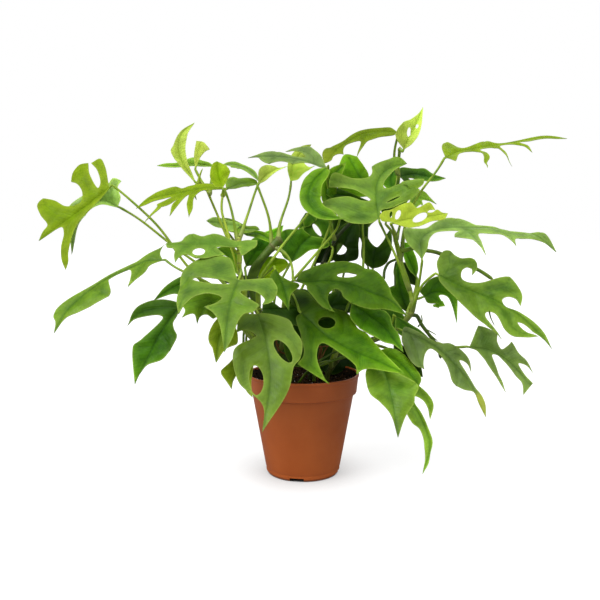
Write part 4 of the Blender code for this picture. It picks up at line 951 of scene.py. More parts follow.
LEAF_LOOKS = {               # deep, fresh and margin colours of the upper face, glow, gloss, sheen
    "new": ((0.19, 0.33, 0.004), (0.26, 0.42, 0.006), (0.36, 0.50, 0.02), (0.50, 0.80, 0.02),
            0.36, 0.06),
    "pale": ((0.28, 0.40, 0.03), (0.40, 0.52, 0.055), (0.48, 0.60, 0.10), (0.65, 0.80, 0.05),
             0.36, 0.12),
    "mature": ((0.030, 0.112, 0.002), (0.094, 0.235, 0.004), (0.18, 0.36, 0.010),
               (0.38, 0.66, 0.01), 0.33, 0.08),
    "light": ((0.055, 0.15, 0.006), (0.148, 0.28, 0.016), (0.225, 0.38, 0.028),
              (0.42, 0.70, 0.02), 0.32, 0.18),
    # silvery: greyer, bluer colours, partly the leaf's own and partly a painted satin sheen
    "silvery": ((0.070, 0.15, 0.016), (0.155, 0.27, 0.040), (0.24, 0.38, 0.060),
                (0.42, 0.66, 0.04), 0.34, 0.30),
    "dark": ((0.014, 0.062, 0.002), (0.042, 0.132, 0.003), (0.085, 0.21, 0.006),
             (0.28, 0.52, 0.01), 0.34, 0.08),
    "olive": ((0.06, 0.12, 0.003), (0.12, 0.20, 0.005), (0.20, 0.27, 0.01),
              (0.42, 0.55, 0.01), 0.38, 0.08),
    "under": ((0.09, 0.20, 0.015), (0.15, 0.29, 0.03), (0.22, 0.37, 0.04),
              (0.45, 0.70, 0.03), 0.42, 0.12),
}
PALER = (0.17, 0.27, 0.075)  # every underside leans towards this
PALER_SHARE = 0.45
UNDER_ROUGHER = 0.14
UNDER_SHEEN = 0.12


def toward(color, other, share):
    return tuple(a + share * (b - a) for a, b in zip(color, other))


def make_skins():
    """Every material, under the name of what wears it."""
    stem_colors = ((0.10, 0.19, 0.006), (0.22, 0.34, 0.015), (0.33, 0.38, 0.08))
    skins = {"stem": stem_skin("stem_green", *stem_colors),
             # shaded: the stem colours, painted much darker low down as shade
             "shaded": stem_skin("shaded_stem_green", *stem_colors, 0.14),
             "sheath": stem_skin("old_sheath_green", (0.050, 0.100, 0.004), (0.105, 0.19, 0.010),
                                 (0.20, 0.22, 0.06)),
             "shoot": stem_skin("young_shoot_green", (0.28, 0.41, 0.012), (0.42, 0.56, 0.03),
                                (0.50, 0.56, 0.10)),
             # lit: lighter colours as painted light, and painted darker low down as shade
             "lit": stem_skin("lit_stem_green", (0.19, 0.32, 0.010), (0.33, 0.46, 0.02),
                              (0.42, 0.46, 0.14), 0.3, 0.14, 0.19),
             "stalk": stalk_skin("stalk_green", (0.34, 0.48, 0.03), (0.18, 0.32, 0.010)),
             "pot": pot_skin("terracotta_plastic"),
             "soil": soil_skin("potting_soil", (0.013, 0.0080, 0.0036), (0.15, 0.080, 0.028), 0.5),
             "bark": soil_skin("bark_chips", (0.07, 0.034, 0.014), (0.28, 0.15, 0.065), 0.6),
             "dead": soil_skin("dead_leaf_bits", (0.16, 0.075, 0.025), (0.36, 0.20, 0.08), 0.7),
             "perlite": perlite_skin("perlite"),
             "floor": floor_skin("pale_floor")}
    for age, (deep, fresh, margin, glow, gloss, sheen) in LEAF_LOOKS.items():
        skins[age] = leaf_skin("leaf_" + age, deep, fresh, margin, glow, gloss, sheen, False)
        pale = [toward(color, PALER, PALER_SHARE) for color in (deep, fresh, margin)]
        skins[age + "_under"] = leaf_skin("leaf_" + age + "_under", *pale, glow,
                                          gloss + UNDER_ROUGHER, UNDER_SHEEN, True)
    return skins


# Pot and soil

def turned(made, profile, segments):
    """A closed solid of revolution from (radius, height) points, from the axis to the axis."""
    turns = [2 * pi * k / segments for k in range(segments)]
    rings = []
    for radius, height in profile:
        if radius == 0:
            rings.append([made.verts.new((0, 0, height))] * segments)
        else:
            rings.append([made.verts.new((radius * cos(turn), radius * sin(turn), height))
                          for turn in turns])
    for low, high in zip(rings, rings[1:]):
        for k in range(segments):
            made.faces.new(dict.fromkeys((low[k - 1], low[k], high[k], high[k - 1])))
    bmesh.ops.recalc_face_normals(made, faces=made.faces)
    return rings


def wall_inside(height):
    """Radius of the pot's inner wall at a height."""
    if height > UNDER_BAND + BAND_STEP:
        share = (height - UNDER_BAND) / RIM_BAND
        return BAND_RADIUS + share * (RIM_RADIUS - LIP_ROUND - BAND_RADIUS) - WALL
    share = (height - FOOT_STEP) / (UNDER_BAND - FOOT_STEP)
    return FOOT_RADIUS + share * (WALL_RADIUS - FOOT_RADIUS) - WALL


def rounded(corners, radius, steps=5):
    """An outline with each of its inner corners rounded off."""
    points = [corners[0]]
    for before, here, after in zip(corners, corners[1:], corners[2:]):
        before, here, after = (np.array(corner, float) for corner in (before, here, after))
        back, ahead = before - here, after - here
        reach = min(radius, 0.45 * np.linalg.norm(back), 0.45 * np.linalg.norm(ahead))
        start = here + reach * back / np.linalg.norm(back)
        end = here + reach * ahead / np.linalg.norm(ahead)
        for share in np.linspace(0, 1, steps):
            near, far = start + share * (here - start), here + share * (end - here)
            points.append(tuple(near + share * (far - near)))
    return [*points, corners[-1]]


def pot():
    """The pot: its band, its step at the foot, and its drain slots, all with rounded corners."""
    outside = [(0, 0), (FOOT_RADIUS - 2.5, 0), (FOOT_RADIUS, 2.6), (FOOT_RADIUS, FOOT_STEP - 0.6),
               (FOOT_RADIUS + 0.6, FOOT_STEP + 1.0), (WALL_RADIUS, UNDER_BAND),
               (BAND_RADIUS - 0.2, UNDER_BAND + 0.9), (RIM_RADIUS - LIP_ROUND, POT_HEIGHT - 3.6),
               (RIM_RADIUS, POT_HEIGHT - 2.4), (RIM_RADIUS, POT_HEIGHT),
               (wall_inside(POT_HEIGHT), POT_HEIGHT)]
    inside_wall = [(wall_inside(height), height) for height in WALL_BREAKS]
    floor = [(FOOT_RADIUS - WALL - 2, FLOOR), (0, FLOOR)]
    made = bmesh.new()
    turned(made, rounded([*outside, *inside_wall, *floor], POT_ROUND), POT_SEGMENTS)
    piece = add_piece("pot_fine", made, [SKINS["pot"]], ["pot"], sharp=35)
    for k in range(DRAIN_SLOTS):
        cut_slot(piece, DRAIN_FROM_FRONT - pi / 2 + 2 * pi * k / DRAIN_SLOTS)
    piece.data.set_sharp_from_angle(angle=radians(35))


def cut_slot(piece, turn):
    """Cut one drain slot across the foot's corner."""
    cutter = bmesh.new()
    bmesh.ops.create_cube(cutter, size=METRES)
    size = Vector((DRAIN_DEPTH, DRAIN_WIDTH, 2 * DRAIN_HEIGHT))
    bmesh.ops.scale(cutter, vec=size, verts=cutter.verts)
    bmesh.ops.translate(cutter, vec=Vector((FOOT_RADIUS * METRES, 0, 0)), verts=cutter.verts)
    bmesh.ops.rotate(cutter, cent=(0, 0, 0), matrix=Matrix.Rotation(turn, 3, "Z"),
                     verts=cutter.verts)
    slot = placed("slot", mesh_of("slot", cutter))
    change = piece.modifiers.new("slot", "BOOLEAN")
    change.operation = "DIFFERENCE"
    change.solver = "EXACT"
    change.object = slot
    evaluated = piece.evaluated_get(bpy.context.evaluated_depsgraph_get())
    piece.data = bpy.data.meshes.new_from_object(evaluated)
    piece.modifiers.clear()
    bpy.data.objects.remove(slot)


def soil_height(x, y):
    """The height of the soil's surface: level in the middle, raised at the wall, and crumbly."""
    radius = hypot(x, y)
    wall = wall_inside(SOIL_EDGE)
    fall = max(0.0, radius - SOIL_FLAT) / (wall - SOIL_FLAT)
    place = Vector((x, y, 0))
    rough = noise.fractal(place / CRUMB_SIZE, 0.8, 2.2, 5)
    rough += 0.5 * noise.noise(place / CLOD_SIZE)
    return SOIL_TOP - (SOIL_TOP - SOIL_EDGE) * fall * fall - 0.6 + SOIL_ROUGH * rough


def soil():
    """The soil's crumbly top in rings, and its plain sides and foot against the pot."""
    wall = wall_inside(SOIL_EDGE) - 0.15
    count = round(wall / SOIL_PITCH)
    radii = [wall * k / count for k in range(count + 1)]
    sides = [(wall_inside(height) - 0.3, height) for height in WALL_BREAKS]
    foot = [(FOOT_RADIUS - WALL - 2.3, FLOOR + 0.3), (0, FLOOR + 0.3)]
    made = bmesh.new()
    rings = turned(made, [(radius, SOIL_TOP) for radius in radii] + sides + foot,
                   SOIL_SEGMENTS)
    for ring in rings[:count + 1]:
        for vert in dict.fromkeys(ring):
            vert.co.z = soil_height(vert.co.x, vert.co.y)
    add_piece("soil_fine", made, [SKINS["soil"]], ["soil"])


def chip(made, centre, size, seed):
    """A small rough lump: an icosphere squeezed, turned and roughened."""
    before = len(made.verts)
    turn = Matrix.Rotation(seed * 1.7, 4, "Z") @ Matrix.Rotation(seed * 2.3, 4, "X")
    stretch = Matrix.Diagonal((*size, 1.0))
    bmesh.ops.create_icosphere(made, subdivisions=1, radius=0.5,
                               matrix=Matrix.Translation(centre) @ turn @ stretch)
    made.verts.ensure_lookup_table()
    for vert in made.verts[before:]:
        away = vert.co - Vector(centre)
        vert.co += away * CHIP_ROUGH * noise.noise(vert.co * 1.3 + Vector((seed, 0, 0)))


def on_soil(reach):
    """A random place on the soil, within a radius."""
    radius, turn = reach * rng.random() ** 0.5, 2 * pi * rng.random()
    return radius * cos(turn), radius * sin(turn)


def scatter(name, skin, count, sizes, lift):
    """Lumps of a kind strewn over the soil, sunk partly into it."""
    made = bmesh.new()
    for k in range(count):
        x, y = on_soil(STREWN)
        size = [low + (high - low) * rng.random() ** 2 for low, high in sizes]
        chip(made, (x, y, soil_height(x, y) + lift * size[2]), size, k)
    add_piece(name, made, [SKINS[skin]], sharp=180)


def fibres(count):
    """Short bent fibres and rootlets that lie on the soil."""
    made = bmesh.new()
    for _ in range(count):
        place = np.array(on_soil(STREWN - 3.0))
        heading, bend = 2 * pi * rng.random(), rng.normal(0, 0.35)
        points = []
        for _ in range(FIBRE_POINTS):
            if hypot(*place) > STREWN:
                break
            points.append((*place, soil_height(*place) + 0.5 + 0.8 * rng.random()))
            heading += bend
            place = place + FIBRE_STEP * np.array((cos(heading), sin(heading)))
        if len(points) > 2:
            path = open_curve(points, 1.2)
            tube(made, path, np.linspace(*FIBRE_RADII, len(path)), 5)
    bmesh.ops.recalc_face_normals(made, faces=made.faces)
    add_piece("soil_fibres", made, [SKINS["bark"]])


# Floor, light and camera

def surround():
    """A white surround that lights the plant less strongly than it shows."""
    world = bpy.data.worlds.new("studio")
    world.use_nodes = True
    tree = world.node_tree
    rays = tree.nodes.new("ShaderNodeLightPath")
    strength = tree.nodes.new("ShaderNodeMapRange")
    strength.inputs["To Min"].default_value = SURROUND_LIGHT
    strength.inputs["To Max"].default_value = SURROUND_SHOWN
    tree.links.new(rays.outputs["Is Camera Ray"], strength.inputs["Value"])
    tree.links.new(strength.outputs[0], tree.nodes["Background"].inputs["Strength"])
    tree.nodes["Background"].inputs["Color"].default_value = (1, 1, 1, 1)
    bpy.context.scene.world = world


def studio():
    """A pale floor, an even white surround, soft lights and the camera."""
    made = bmesh.new()
    bmesh.ops.create_grid(made, x_segments=2, y_segments=2, size=FLOOR_HALF)
    floor = placed("floor", mesh_of("floor", made))
    floor.data.materials.append(SKINS["floor"])
    surround()
    for name, place, width, strength in LIGHTS:
        light = bpy.data.lights.new(name, "SUN")
        light.angle = radians(width)
        light.energy = strength
        lamp = placed(name, light)
        lamp.location = place
        lamp.rotation_euler = (-Vector(place)).to_track_quat("-Z", "Y").to_euler()
    camera = placed("camera", bpy.data.cameras.new("camera"))
    camera.data.lens = CAMERA_LENS
    camera.data.clip_end = 100.0
    camera.location = CAMERA_PLACE
    camera.rotation_euler = (pi / 2 - CAMERA_TILT, 0, 0)
    bpy.context.scene.camera = camera
    bpy.context.scene.view_settings.view_transform = "Standard"


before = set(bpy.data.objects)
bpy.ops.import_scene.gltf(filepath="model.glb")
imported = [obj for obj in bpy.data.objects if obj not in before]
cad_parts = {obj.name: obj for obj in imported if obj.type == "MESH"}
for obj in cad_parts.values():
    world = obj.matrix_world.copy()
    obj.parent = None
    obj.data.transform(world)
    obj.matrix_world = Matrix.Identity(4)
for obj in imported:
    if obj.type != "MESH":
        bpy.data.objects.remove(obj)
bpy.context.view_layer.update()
SKINS = make_skins()


# The stems. Each path starts where it leaves the soil or the stem that carries it.

stem("vine_left", root=(-28, -8), radii=(2.6, 1.9),
     path=[(-49, -12, 144), (-58, -15, 168), (-62, -14, 195), (-66, -11, 222), (-67, -8, 252)])
stem("vine_centre", root=(-14, 10), radii=(2.8, 4.2),
     path=[(-44, 8, 163), (-55, 6, 195), (-54, 4, 215), (-39, 2, 234), (-23, 2, 251)])
stem("vine_back", root=(8, 16), radii=(2.4, 1.6),
     path=[(21, 20, 164), (17, 28, 199), (28, 35, 237), (54, 38, 268), (89, 38, 288),
           (104, 36, 309), (104, 33, 330), (105, 29, 349)])
stem("vine_right", root=(26, 0), radii=(3.0, 2.0),
     path=[(52, 0, 137), (82, -2, 145), (103, -5, 159), (115, -8, 175), (112, -5, 198),
           (102, 2, 231), (96, 6, 259)])
stem("runner_low_right", on=("vine_right", 0.58), radii=(2.1, 1.7),
     path=[(120, -5, 169), (126, -3, 159), (136, -1, 146), (144, 0, 135), (148, 3, 122)])
stem("shoot_upper_left", on=("vine_left", 0.72), radii=(1.4, 1.2),
     path=[(-69, -1, 217), (-75, 1, 238), (-86, 6, 264), (-97, 11, 289), (-103, 14, 302),
           (-109, 12, 310)])
stem("shoot_crest", on=("vine_left", 0.9), radii=(1.4, 1.2),
     path=[(-74, -16, 244), (-79, -14, 261), (-84, -10, 278), (-84, -8, 290), (-82, -6, 299)])

# Upper left: two young leaves held out on long stalks.

leaf("leaf_upper_left_fan", "new", on=("vine_left", 0.5),
     stalk=[(-108, -8, 207), (-125, -8, 226), (-148, -10, 261), (-168, -13, 281)],
     midrib=[(-199, -12, 303), (-223, -20, 282), (-246, -27, 264), (-266, -33, 248)],
     face=(-0.15, -0.85, 0.5), fold=(6, 6), curl=(-14, -20),
     edge=[(-12, 25), (-14, 38), (-4, 41, TIP), (-3, 27), (4, 11), (9, 8), (5, 30),
           (-2, 44, TIP), (6, 51), (16, 48), (25, 38, TIP), (22, 30), (24, 17), (33, 8), (46, 14),
           (52, 31), (60, 45, TIP), (68, 41), (72, 25), (73, 9), (80, 6), (89, 0, TIP), (63, -4),
           (65, -12), (75, -23), (83, -36), (86, -47, TIP), (79, -42), (73, -34), (46, -11),
           (14, -5)])
leaf("leaf_upper_left_behind", "under", on=("vine_left", 0.55),
     stalk=[(-85, -3, 207), (-114, 2, 225), (-144, 6, 247), (-170, 9, 268), (-183, 10, 277)],
     midrib=[(-197, 10, 284), (-217, 16, 291), (-238, 13, 281), (-242, -7, 233)],
     face=(-0.1, -0.9, 0.4),
     edge=[(13, -4), (49, -10), (66, -4), (99, 0, TIP), (62, 8), (53, 13),
           (48, 13, TIP), (39, 11), (27, 13), (19, 19), (17, 27), (12, 27, TIP), (11, 18), (2, 10)])

# Crest: the small leaves at the top of the two thin shoots.

leaf("leaf_crest_tall_young", "new", on=("shoot_upper_left", 0.985), stalk=[(-113, 12, 311)],
     midrib=[(-116, 13, 312), (-128, 16, 330), (-133, 21, 348), (-130, 27, 363), (-117, 34, 376)],
     face=(0.2, -0.92, 0.3), fold=(14, 14), curl=(6, 6),
     edge=[(22, -5), (37, -9), (42, -6), (77, 0, TIP), (54, 7), (38, 7), (13, 4)])
leaf("leaf_crest_small_young", "new", on=("shoot_upper_left", 0.93), stalk=[(-113, 17, 318)],
     midrib=[(-115, 20, 327), (-113, 23, 340), (-110, 25, 354)],
     face=(-0.3, -0.9, 0.3), fold=(10, 10), curl=(5, 5),
     edge=[(12, -4), (28, -5, TIP), (28, 3), (24, 10), (20, 15, TIP), (17, 9), (8, 3)])
leaf("leaf_crest_level", "mature", on=("shoot_upper_left", 0.86), stalk=[(-100, 22, 320)],
     midrib=[(-97, 26, 328), (-117, 30, 331), (-136, 28, 329), (-158, 28, 329)],
     face=(0, -0.5, 0.86), fold=(4, 4), curl=(-6, -6),
     edge=[(7, 6), (17, 9), (23, 17), (29, 12), (42, 6), (53, 5), (62, 0, TIP),
           (53, -4), (12, -6)])
leaf("leaf_crest_fingered", "new", on=("shoot_crest", 0.98), stalk=[(-79, -8, 303)],
     midrib=[(-84, -4, 302), (-103, 0, 303), (-120, 0, 300), (-144, -3, 295), (-159, -6, 291),
             (-171, -18, 281)],
     face=(-0.1, -0.6, 0.8), fold=(4, 4), curl=(-5, -5),
     edge=[(11, 6), (35, 8), (43, 6), (48, 11), (66, 10), (77, 4), (97, 0, TIP),
           (85, -6), (67, -7), (55, -7), (63, -12), (113, -28, TIP), (60, -20), (50, -14),
           (56, -21), (61, -38, TIP), (37, -9), (40, -25), (39, -50, TIP), (34, -35), (31, -15),
           (22, -6), (10, -4)])
leaf("leaf_crest_cupped", "new", on=("shoot_crest", 0.94), stalk=[(-82, -10, 300)],
     midrib=[(-83, -12, 303), (-87, -10, 315), (-89, -7, 330)],
     face=(0.1, -0.95, 0.2), fold=(16, 16), curl=(16, 16),
     edge=[(1, -7), (8, -10), (25, -5), (28, 0, TIP), (20, 11), (12, 13), (2, 4)])
leaf("leaf_crest_arching", "light", on=("vine_left", 0.99),
     stalk=[(-63, -2, 263), (-56, 4, 280), (-51, 8, 301)],
     midrib=[(-47, 12, 312), (-58, 38, 325), (-70, 50, 331), (-81, 54, 333), (-90, 51, 332)],
     face=(0, -0.45, 0.89), fold=(4, 4), curl=(-6, -6),
     edge=[(20, 3), (49, 4), (60, 7), (71, 0, TIP), (57, -9), (40, -7), (20, -5)])
leaf("leaf_crest_lower", "mature", on=("vine_left", 0.96),
     stalk=[(-71, -4, 265), (-75, -3, 280), (-78, 0, 295)],
     midrib=[(-80, 2, 302), (-69, 14, 308), (-59, 19, 310), (-48, 18, 309)],
     face=(0, -0.42, 0.9), fold=(3, 3), curl=(-5, -5),
     edge=[(14, -15), (21, -21), (24, -12), (30, -11), (37, -6, TIP), (40, 2, TIP),
           (34, 11), (8, 9)])
leaf("leaf_crest_pale", "new", on=("vine_centre", 0.93),
     stalk=[(-33, 6, 259), (-36, 4, 273), (-40, 2, 286)],
     midrib=[(-46, 1, 308), (-38, 6, 317), (-28, 10, 323), (-16, 13, 327)],
     face=(0.15, -0.9, 0.35), fold=(12, 12), curl=(8, 8),
     edge=[(6, -6), (12, -10), (18, -9), (25, -4, TIP), (28, -1), (38, 0, TIP),
           (8, 4)])

# Top: the arching leaves above the middle, and the long one trailing to the right.

leaf("leaf_top_yellow_behind", "new", on=("vine_centre", 0.985),
     stalk=[(-27, 9, 257), (-25, 14, 267), (-20, 22, 281), (-14, 28, 296)],
     midrib=[(-13, 34, 313), (-12, 39, 327), (-4, 45, 342), (10, 50, 355)],
     face=(0, -0.93, 0.35), fold=(8, 8), curl=(6, 6),
     edge=[(24, -7), (43, -5), (52, 0, TIP), (35, 7), (27, 10), (23, 18),
           (30, 23, TIP), (15, 19), (6, 12), (1, 7)])
leaf("leaf_top_centre_long", "light", on=("vine_left", 0.3),
     stalk=[(-47, -26, 206), (-34, -24, 225), (-17, -14, 249), (-3, 2, 265), (12, 18, 286),
            (24, 22, 313)],
     midrib=[(24, 10, 325), (3, 20, 333), (-19, 26, 338), (-41, 28, 339), (-59, 25, 337)],
     face=(0, -0.62, 0.78), fold=(6, 6), curl=(-10, -10),
     edge=[(15, 15), (24, 21), (31, 25), (44, 17), (50, 10, TIP), (42, 13), (34, 12),
           (28, 6), (38, 3), (64, 9), (79, 3), (89, 0, TIP), (79, -1), (75, -9), (66, -14),
           (50, -10), (34, -11), (26, -5), (15, -2), (5, -3)])
leaf("leaf_top_arching", "new", on=("vine_back", 0.9), stalk=[(98, 32, 338), (99, 28, 351)],
     midrib=[(100, 24, 364), (83, 25, 365), (64, 22, 362), (50, 15, 354), (37, 4, 344),
             (23, -11, 327)],
     face=(0, -0.72, 0.69), fold=(5, 5), curl=(-8, -8),
     edge=[(6, 6), (17, 5), (49, 5), (63, 4), (76, 7), (83, 11), (92, 9),
           (101, 1, TIP), (94, -3), (87, -2), (81, -6), (80, -10, TIP), (72, -5), (63, -3),
           (48, -9), (74, -23, TIP), (44, -15), (26, -13), (2, -6)])
leaf("leaf_top_unfurling", "new", on=("vine_back", 0.99), stalk=[(107, 20, 341)],
     midrib=[(107, 14, 345), (113, 16, 358), (120, 18, 371), (128, 21, 390)],
     face=(0.1, -0.98, 0.1), fold=(18, 18), curl=(20, 20),
     edge=[(5, -14), (11, -17), (24, -14), (30, -9), (44, -1), (50, 0, TIP),
           (30, 6), (18, 8), (8, 6)],
     holes=[(18, -3, 10, 5, -25), (28, 2, 5, 3, -15)])
leaf("leaf_right_top_trailing", "new", on=("vine_right", 0.86),
     stalk=[(106, 10, 254), (113, 10, 278), (126, 8, 303), (144, 6, 324)],
     midrib=[(150, 6, 335), (166, 22, 343), (187, 33, 348), (218, 45, 354), (243, 57, 359),
             (276, 71, 365), (302, 72, 364)],
     face=(0.05, -0.5, 0.86), fold=(4, 4), curl=(-5, -5),
     edge=[(30, -23), (34, -5), (73, -12), (77, -5), (82, -2), (133, -3), (155, -4),
           (173, 0, TIP), (161, 4), (145, 4), (121, 5), (107, 4), (109, 14), (100, 31, TIP),
           (103, 15), (93, 6), (78, 5), (72, 24), (54, 56, TIP), (69, 26), (71, 9), (51, 6),
           (49, 18), (42, 32), (8, 44, TIP), (39, 26), (44, 11), (23, 5), (-2, 13, TIP)])
leaf("leaf_right_dark", "dark", on=("vine_back", 0.8), stalk=[(109, 44, 314)],
     midrib=[(108, 48, 319), (124, 50, 322), (140, 48, 319), (159, 46, 317)],
     face=(0, -0.75, 0.66), fold=(4, 4), curl=(-8, -8),
     edge=[(-3, 8, TIP), (5, -12), (16, -8), (27, -10), (39, -4), (52, 0, TIP), (43, 6), (20, 9),
           (8, 6), (10, 12), (4, 14)])
leaf("leaf_right_spike_behind", "light", on=("vine_right", 0.95), stalk=[(104, 18, 268)],
     midrib=[(112, 26, 279), (127, 41, 295), (149, 42, 288)], face=(0.2, -0.8, 0.55),
     edge=[(17, -3), (32, -10), (40, -5), (50, 0, TIP), (40, 0), (32, 4), (34, 10),
           (12, 7)])

# Upper middle: the big curled leaf and the broad fingered one over it.

leaf("leaf_centre_big_curl", "mature", on=("vine_centre", 0.22),
     stalk=[(-19, -14, 195), (-3, -20, 216), (20, -8, 242), (41, 2, 268), (33, 14, 288),
            (24, 14, 306), (27, 4, 320)],
     midrib=[(24, -5, 323), (9, -9, 307), (5, -17, 289), (17, -28, 275), (39, -38, 270)],
     face=(-0.25, -0.85, 0.45), fold=(3, 3), curl=(-14, -14),
     edge=[(7, 7), (16, 10), (59, 6), (80, 3), (92, 0, TIP), (84, -2), (75, -8),
           (61, -10), (38, -14), (6, -9), (0, -6, TIP)])
leaf("leaf_centre_behind_lobe", "mature", on=("vine_right", 0.14),
     stalk=[(58, -4, 180), (63, -2, 217), (65, 6, 243), (63, 14, 266), (68, 22, 285)],
     midrib=[(74, 26, 296), (62, 35, 318), (49, 44, 342)], face=(0.1, -0.9, 0.4),
     edge=[(14, 5), (25, 10), (49, 9, TIP), (57, -2), (45, -18), (39, -28),
           (23, -29), (6, -17)])
leaf("leaf_centre_large", "light", on=("vine_right", 0.7),
     stalk=[(100, -14, 223), (88, -14, 249), (81, -18, 261)],
     midrib=[(77, -24, 270), (76, -10, 290), (79, 5, 311), (91, 12, 324), (111, 16, 330)],
     face=(-0.05, -0.82, 0.57), fold=(5, 5), curl=(-8, -8),
     edge=[(10, 3), (13, 18), (34, 43), (94, 34), (99, 27, TIP), (88, 24), (59, 23),
           (41, 14), (41, 8), (66, 7), (91, 0, TIP), (87, -9), (81, -12), (75, -11), (61, -15, TIP),
           (56, -10), (51, -11), (47, -24), (47, -49), (38, -50, TIP), (36, -22), (24, -6),
           (23, -14), (28, -30), (24, -54), (19, -58, TIP), (16, -48), (-2, -32), (-5, -9)],
     holes=[(24, 17, 16, 2.5, 60)])
leaf("leaf_right_yellow_holed", "new", on=("vine_right", 0.985), stalk=[(93, -16, 261)],
     midrib=[(91, -30, 266), (108, -27, 270), (126, -25, 272), (148, -22, 276)],
     face=(0.05, -0.9, 0.42), fold=(8, 8), curl=(6, 6),
     edge=[(-11, -5), (-12, -10), (-7, -14), (1, -14), (22, -17), (26, -11),
           (42, -15), (46, -6, TIP), (40, -7), (37, -5), (42, -4), (48, -6), (52, -2),
           (58, 0, TIP), (52, 6), (38, 6), (25, 10), (13, 10)],
     holes=[(7, -7, 11, 5, -50), (28, 0, 18, 8, -25), (0, -9, 7, 3, -65)])

# Right: the long drooping leaf, the big one below it and the two at the low right.

leaf("leaf_right_drooping", "light", on=("vine_right", 0.64),
     stalk=[(121, -4, 196), (123, -12, 218)],
     midrib=[(123, -14, 230), (123, -8, 249), (146, 10, 261), (177, 6, 262), (211, -6, 260),
             (240, -12, 254), (262, -16, 236)],
     face=[(0, -0.95, 0.3), (0, -0.75, 0.66), (0, -0.45, 0.89), (0.1, -0.55, 0.83),
           (0.3, -0.6, 0.74)],
     fold=(3, 3), curl=(-4, -4),
     edge=[(9, -7), (22, -22, TIP), (28, -12), (39, -6), (65, -14), (76, -14),
           (90, -5, TIP), (107, -3), (125, 3), (145, 0), (159, -12), (179, 0, TIP), (166, 2),
           (151, 10), (137, 16), (131, 17), (131, 34, TIP), (125, 20), (118, 13), (107, 13),
           (95, 14), (101, 34), (109, 59, TIP), (97, 39), (83, 24), (68, 18), (69, 12), (73, 9),
           (57, 6), (44, 4), (13, 8)])
leaf("leaf_right_big", "light", on=("vine_right", 0.6),
     stalk=[(117, -20, 189), (119, -26, 204), (127, -30, 210)],
     midrib=[(136, -36, 214), (162, -42, 201), (195, -47, 187), (220, -57, 169), (239, -72, 145)],
     face=(0.12, -0.8, 0.59), fold=(5, 5), curl=(-7, -7),
     edge=[(-7, -12), (-8, -24, TIP), (-6, -30), (-1, -33), (6, -30), (12, -30),
           (21, -36), (29, -35), (34, -27), (31, -17, TIP), (28, -24), (22, -23), (19, -16),
           (23, -8), (41, -12), (64, -35, TIP), (79, -23), (84, -10, TIP), (77, -14), (70, -11),
           (67, -4), (72, 0), (87, -3), (115, -5), (133, 0, TIP), (121, 0), (109, 4), (96, 6),
           (92, 9), (103, 11), (116, 3, TIP), (111, 15), (101, 25), (85, 26), (66, 16), (56, 20),
           (57, 25), (92, 37, TIP), (52, 32), (28, 19), (4, 7)])
leaf("leaf_right_low_dark", "dark", on=("vine_right", 0.65), stalk=[(124, 4, 186)],
     midrib=[(130, 10, 188), (144, 13, 193), (157, 11, 189), (163, -5, 161)],
     face=(0, -0.85, 0.5),
     edge=[(-1, -7), (7, -11), (20, -19), (26, -13), (35, -7), (63, 0, TIP), (42, 1),
           (18, 5), (23, 10), (42, 9, TIP), (40, 21), (0, 9)])
leaf("leaf_lower_right_torn", "light", on=("runner_low_right", 0.72),
     stalk=[(154, -10, 136), (162, -18, 136)],
     midrib=[(173, -20, 138), (193, -21, 135), (212, -26, 124), (228, -36, 106)],
     face=(0.05, -0.85, 0.5), fold=(4, 4), curl=(-6, -6),
     edge=[(9, -25, TIP), (14, -24), (23, -21, TIP), (25, -12), (31, -7), (34, -14),
           (35, -21, TIP), (45, -15), (53, -15), (67, -11, TIP), (57, -11), (51, -6), (62, -3),
           (75, -3, TIP), (78, 14, TIP), (68, 6), (59, 6), (38, 3), (30, 1), (25, 4), (42, 18),
           (56, 22), (66, 27, TIP), (32, 20), (14, 10), (7, 3)])
leaf("leaf_lower_right_pointed", "mature", on=("vine_right", 0.36),
     stalk=[(97, -16, 155), (97, -26, 162)],
     midrib=[(101, -32, 157), (119, -36, 150), (135, -40, 141), (156, -52, 121), (168, -65, 102),
             (175, -81, 80)],
     face=(0.1, -0.8, 0.6), fold=(6, 6), curl=(-8, -8),
     edge=[(1, -5), (37, -5), (46, -13), (66, -15), (79, -7, TIP), (69, -10),
           (63, -6), (93, -2), (102, -4), (112, -4), (124, 0, TIP), (109, 2), (97, 2), (91, 11),
           (79, 17), (55, 7), (34, 6), (32, 15), (37, 24), (45, 30, TIP), (26, 32), (5, 15)])

# Low right, under the rim of the foliage.

leaf("leaf_low_right_lit", "light", on=("vine_right", 0.2), stalk=[(75, -24, 143), (75, -48, 140)],
     midrib=[(76, -60, 132), (82, -73, 111), (86, -86, 90), (88, -101, 66)],
     face=(-0.05, -0.85, 0.52), curl=(-10, -10),
     edge=[(7, 17), (32, 20), (43, 12), (57, 4), (79, 0, TIP), (59, -10), (48, -20),
           (42, -22), (36, -27), (31, -26), (19, -13)])
leaf("leaf_low_right_shoulder", "mature", on=("vine_right", 0.26), stalk=[(80, -27, 134)],
     midrib=[(75, -42, 137), (95, -48, 128), (113, -65, 108)], face=(0.05, -0.75, 0.66),
     edge=[(11, -10), (30, -9), (51, -6), (56, 1, TIP), (44, 5), (33, 11), (15, 15),
           (4, 9)])
leaf("leaf_low_right_sickle", "light", on=("vine_right", 0.3),
     stalk=[(95, -26, 136), (94, -44, 116)],
     midrib=[(98, -52, 106), (108, -57, 89), (119, -64, 67), (124, -71, 48), (115, -83, 25)],
     face=(0.2, -0.9, 0.38), fold=(5, 5), curl=(-6, -6),
     edge=[(2, -9), (20, -18), (32, -18), (43, -8, TIP), (32, -11), (23, -10),
           (17, -5), (22, -2), (33, -3), (52, -3), (62, -3), (72, -1), (84, -2), (95, 0, TIP),
           (83, 2), (69, 6), (48, 6), (38, 11), (11, 9)])

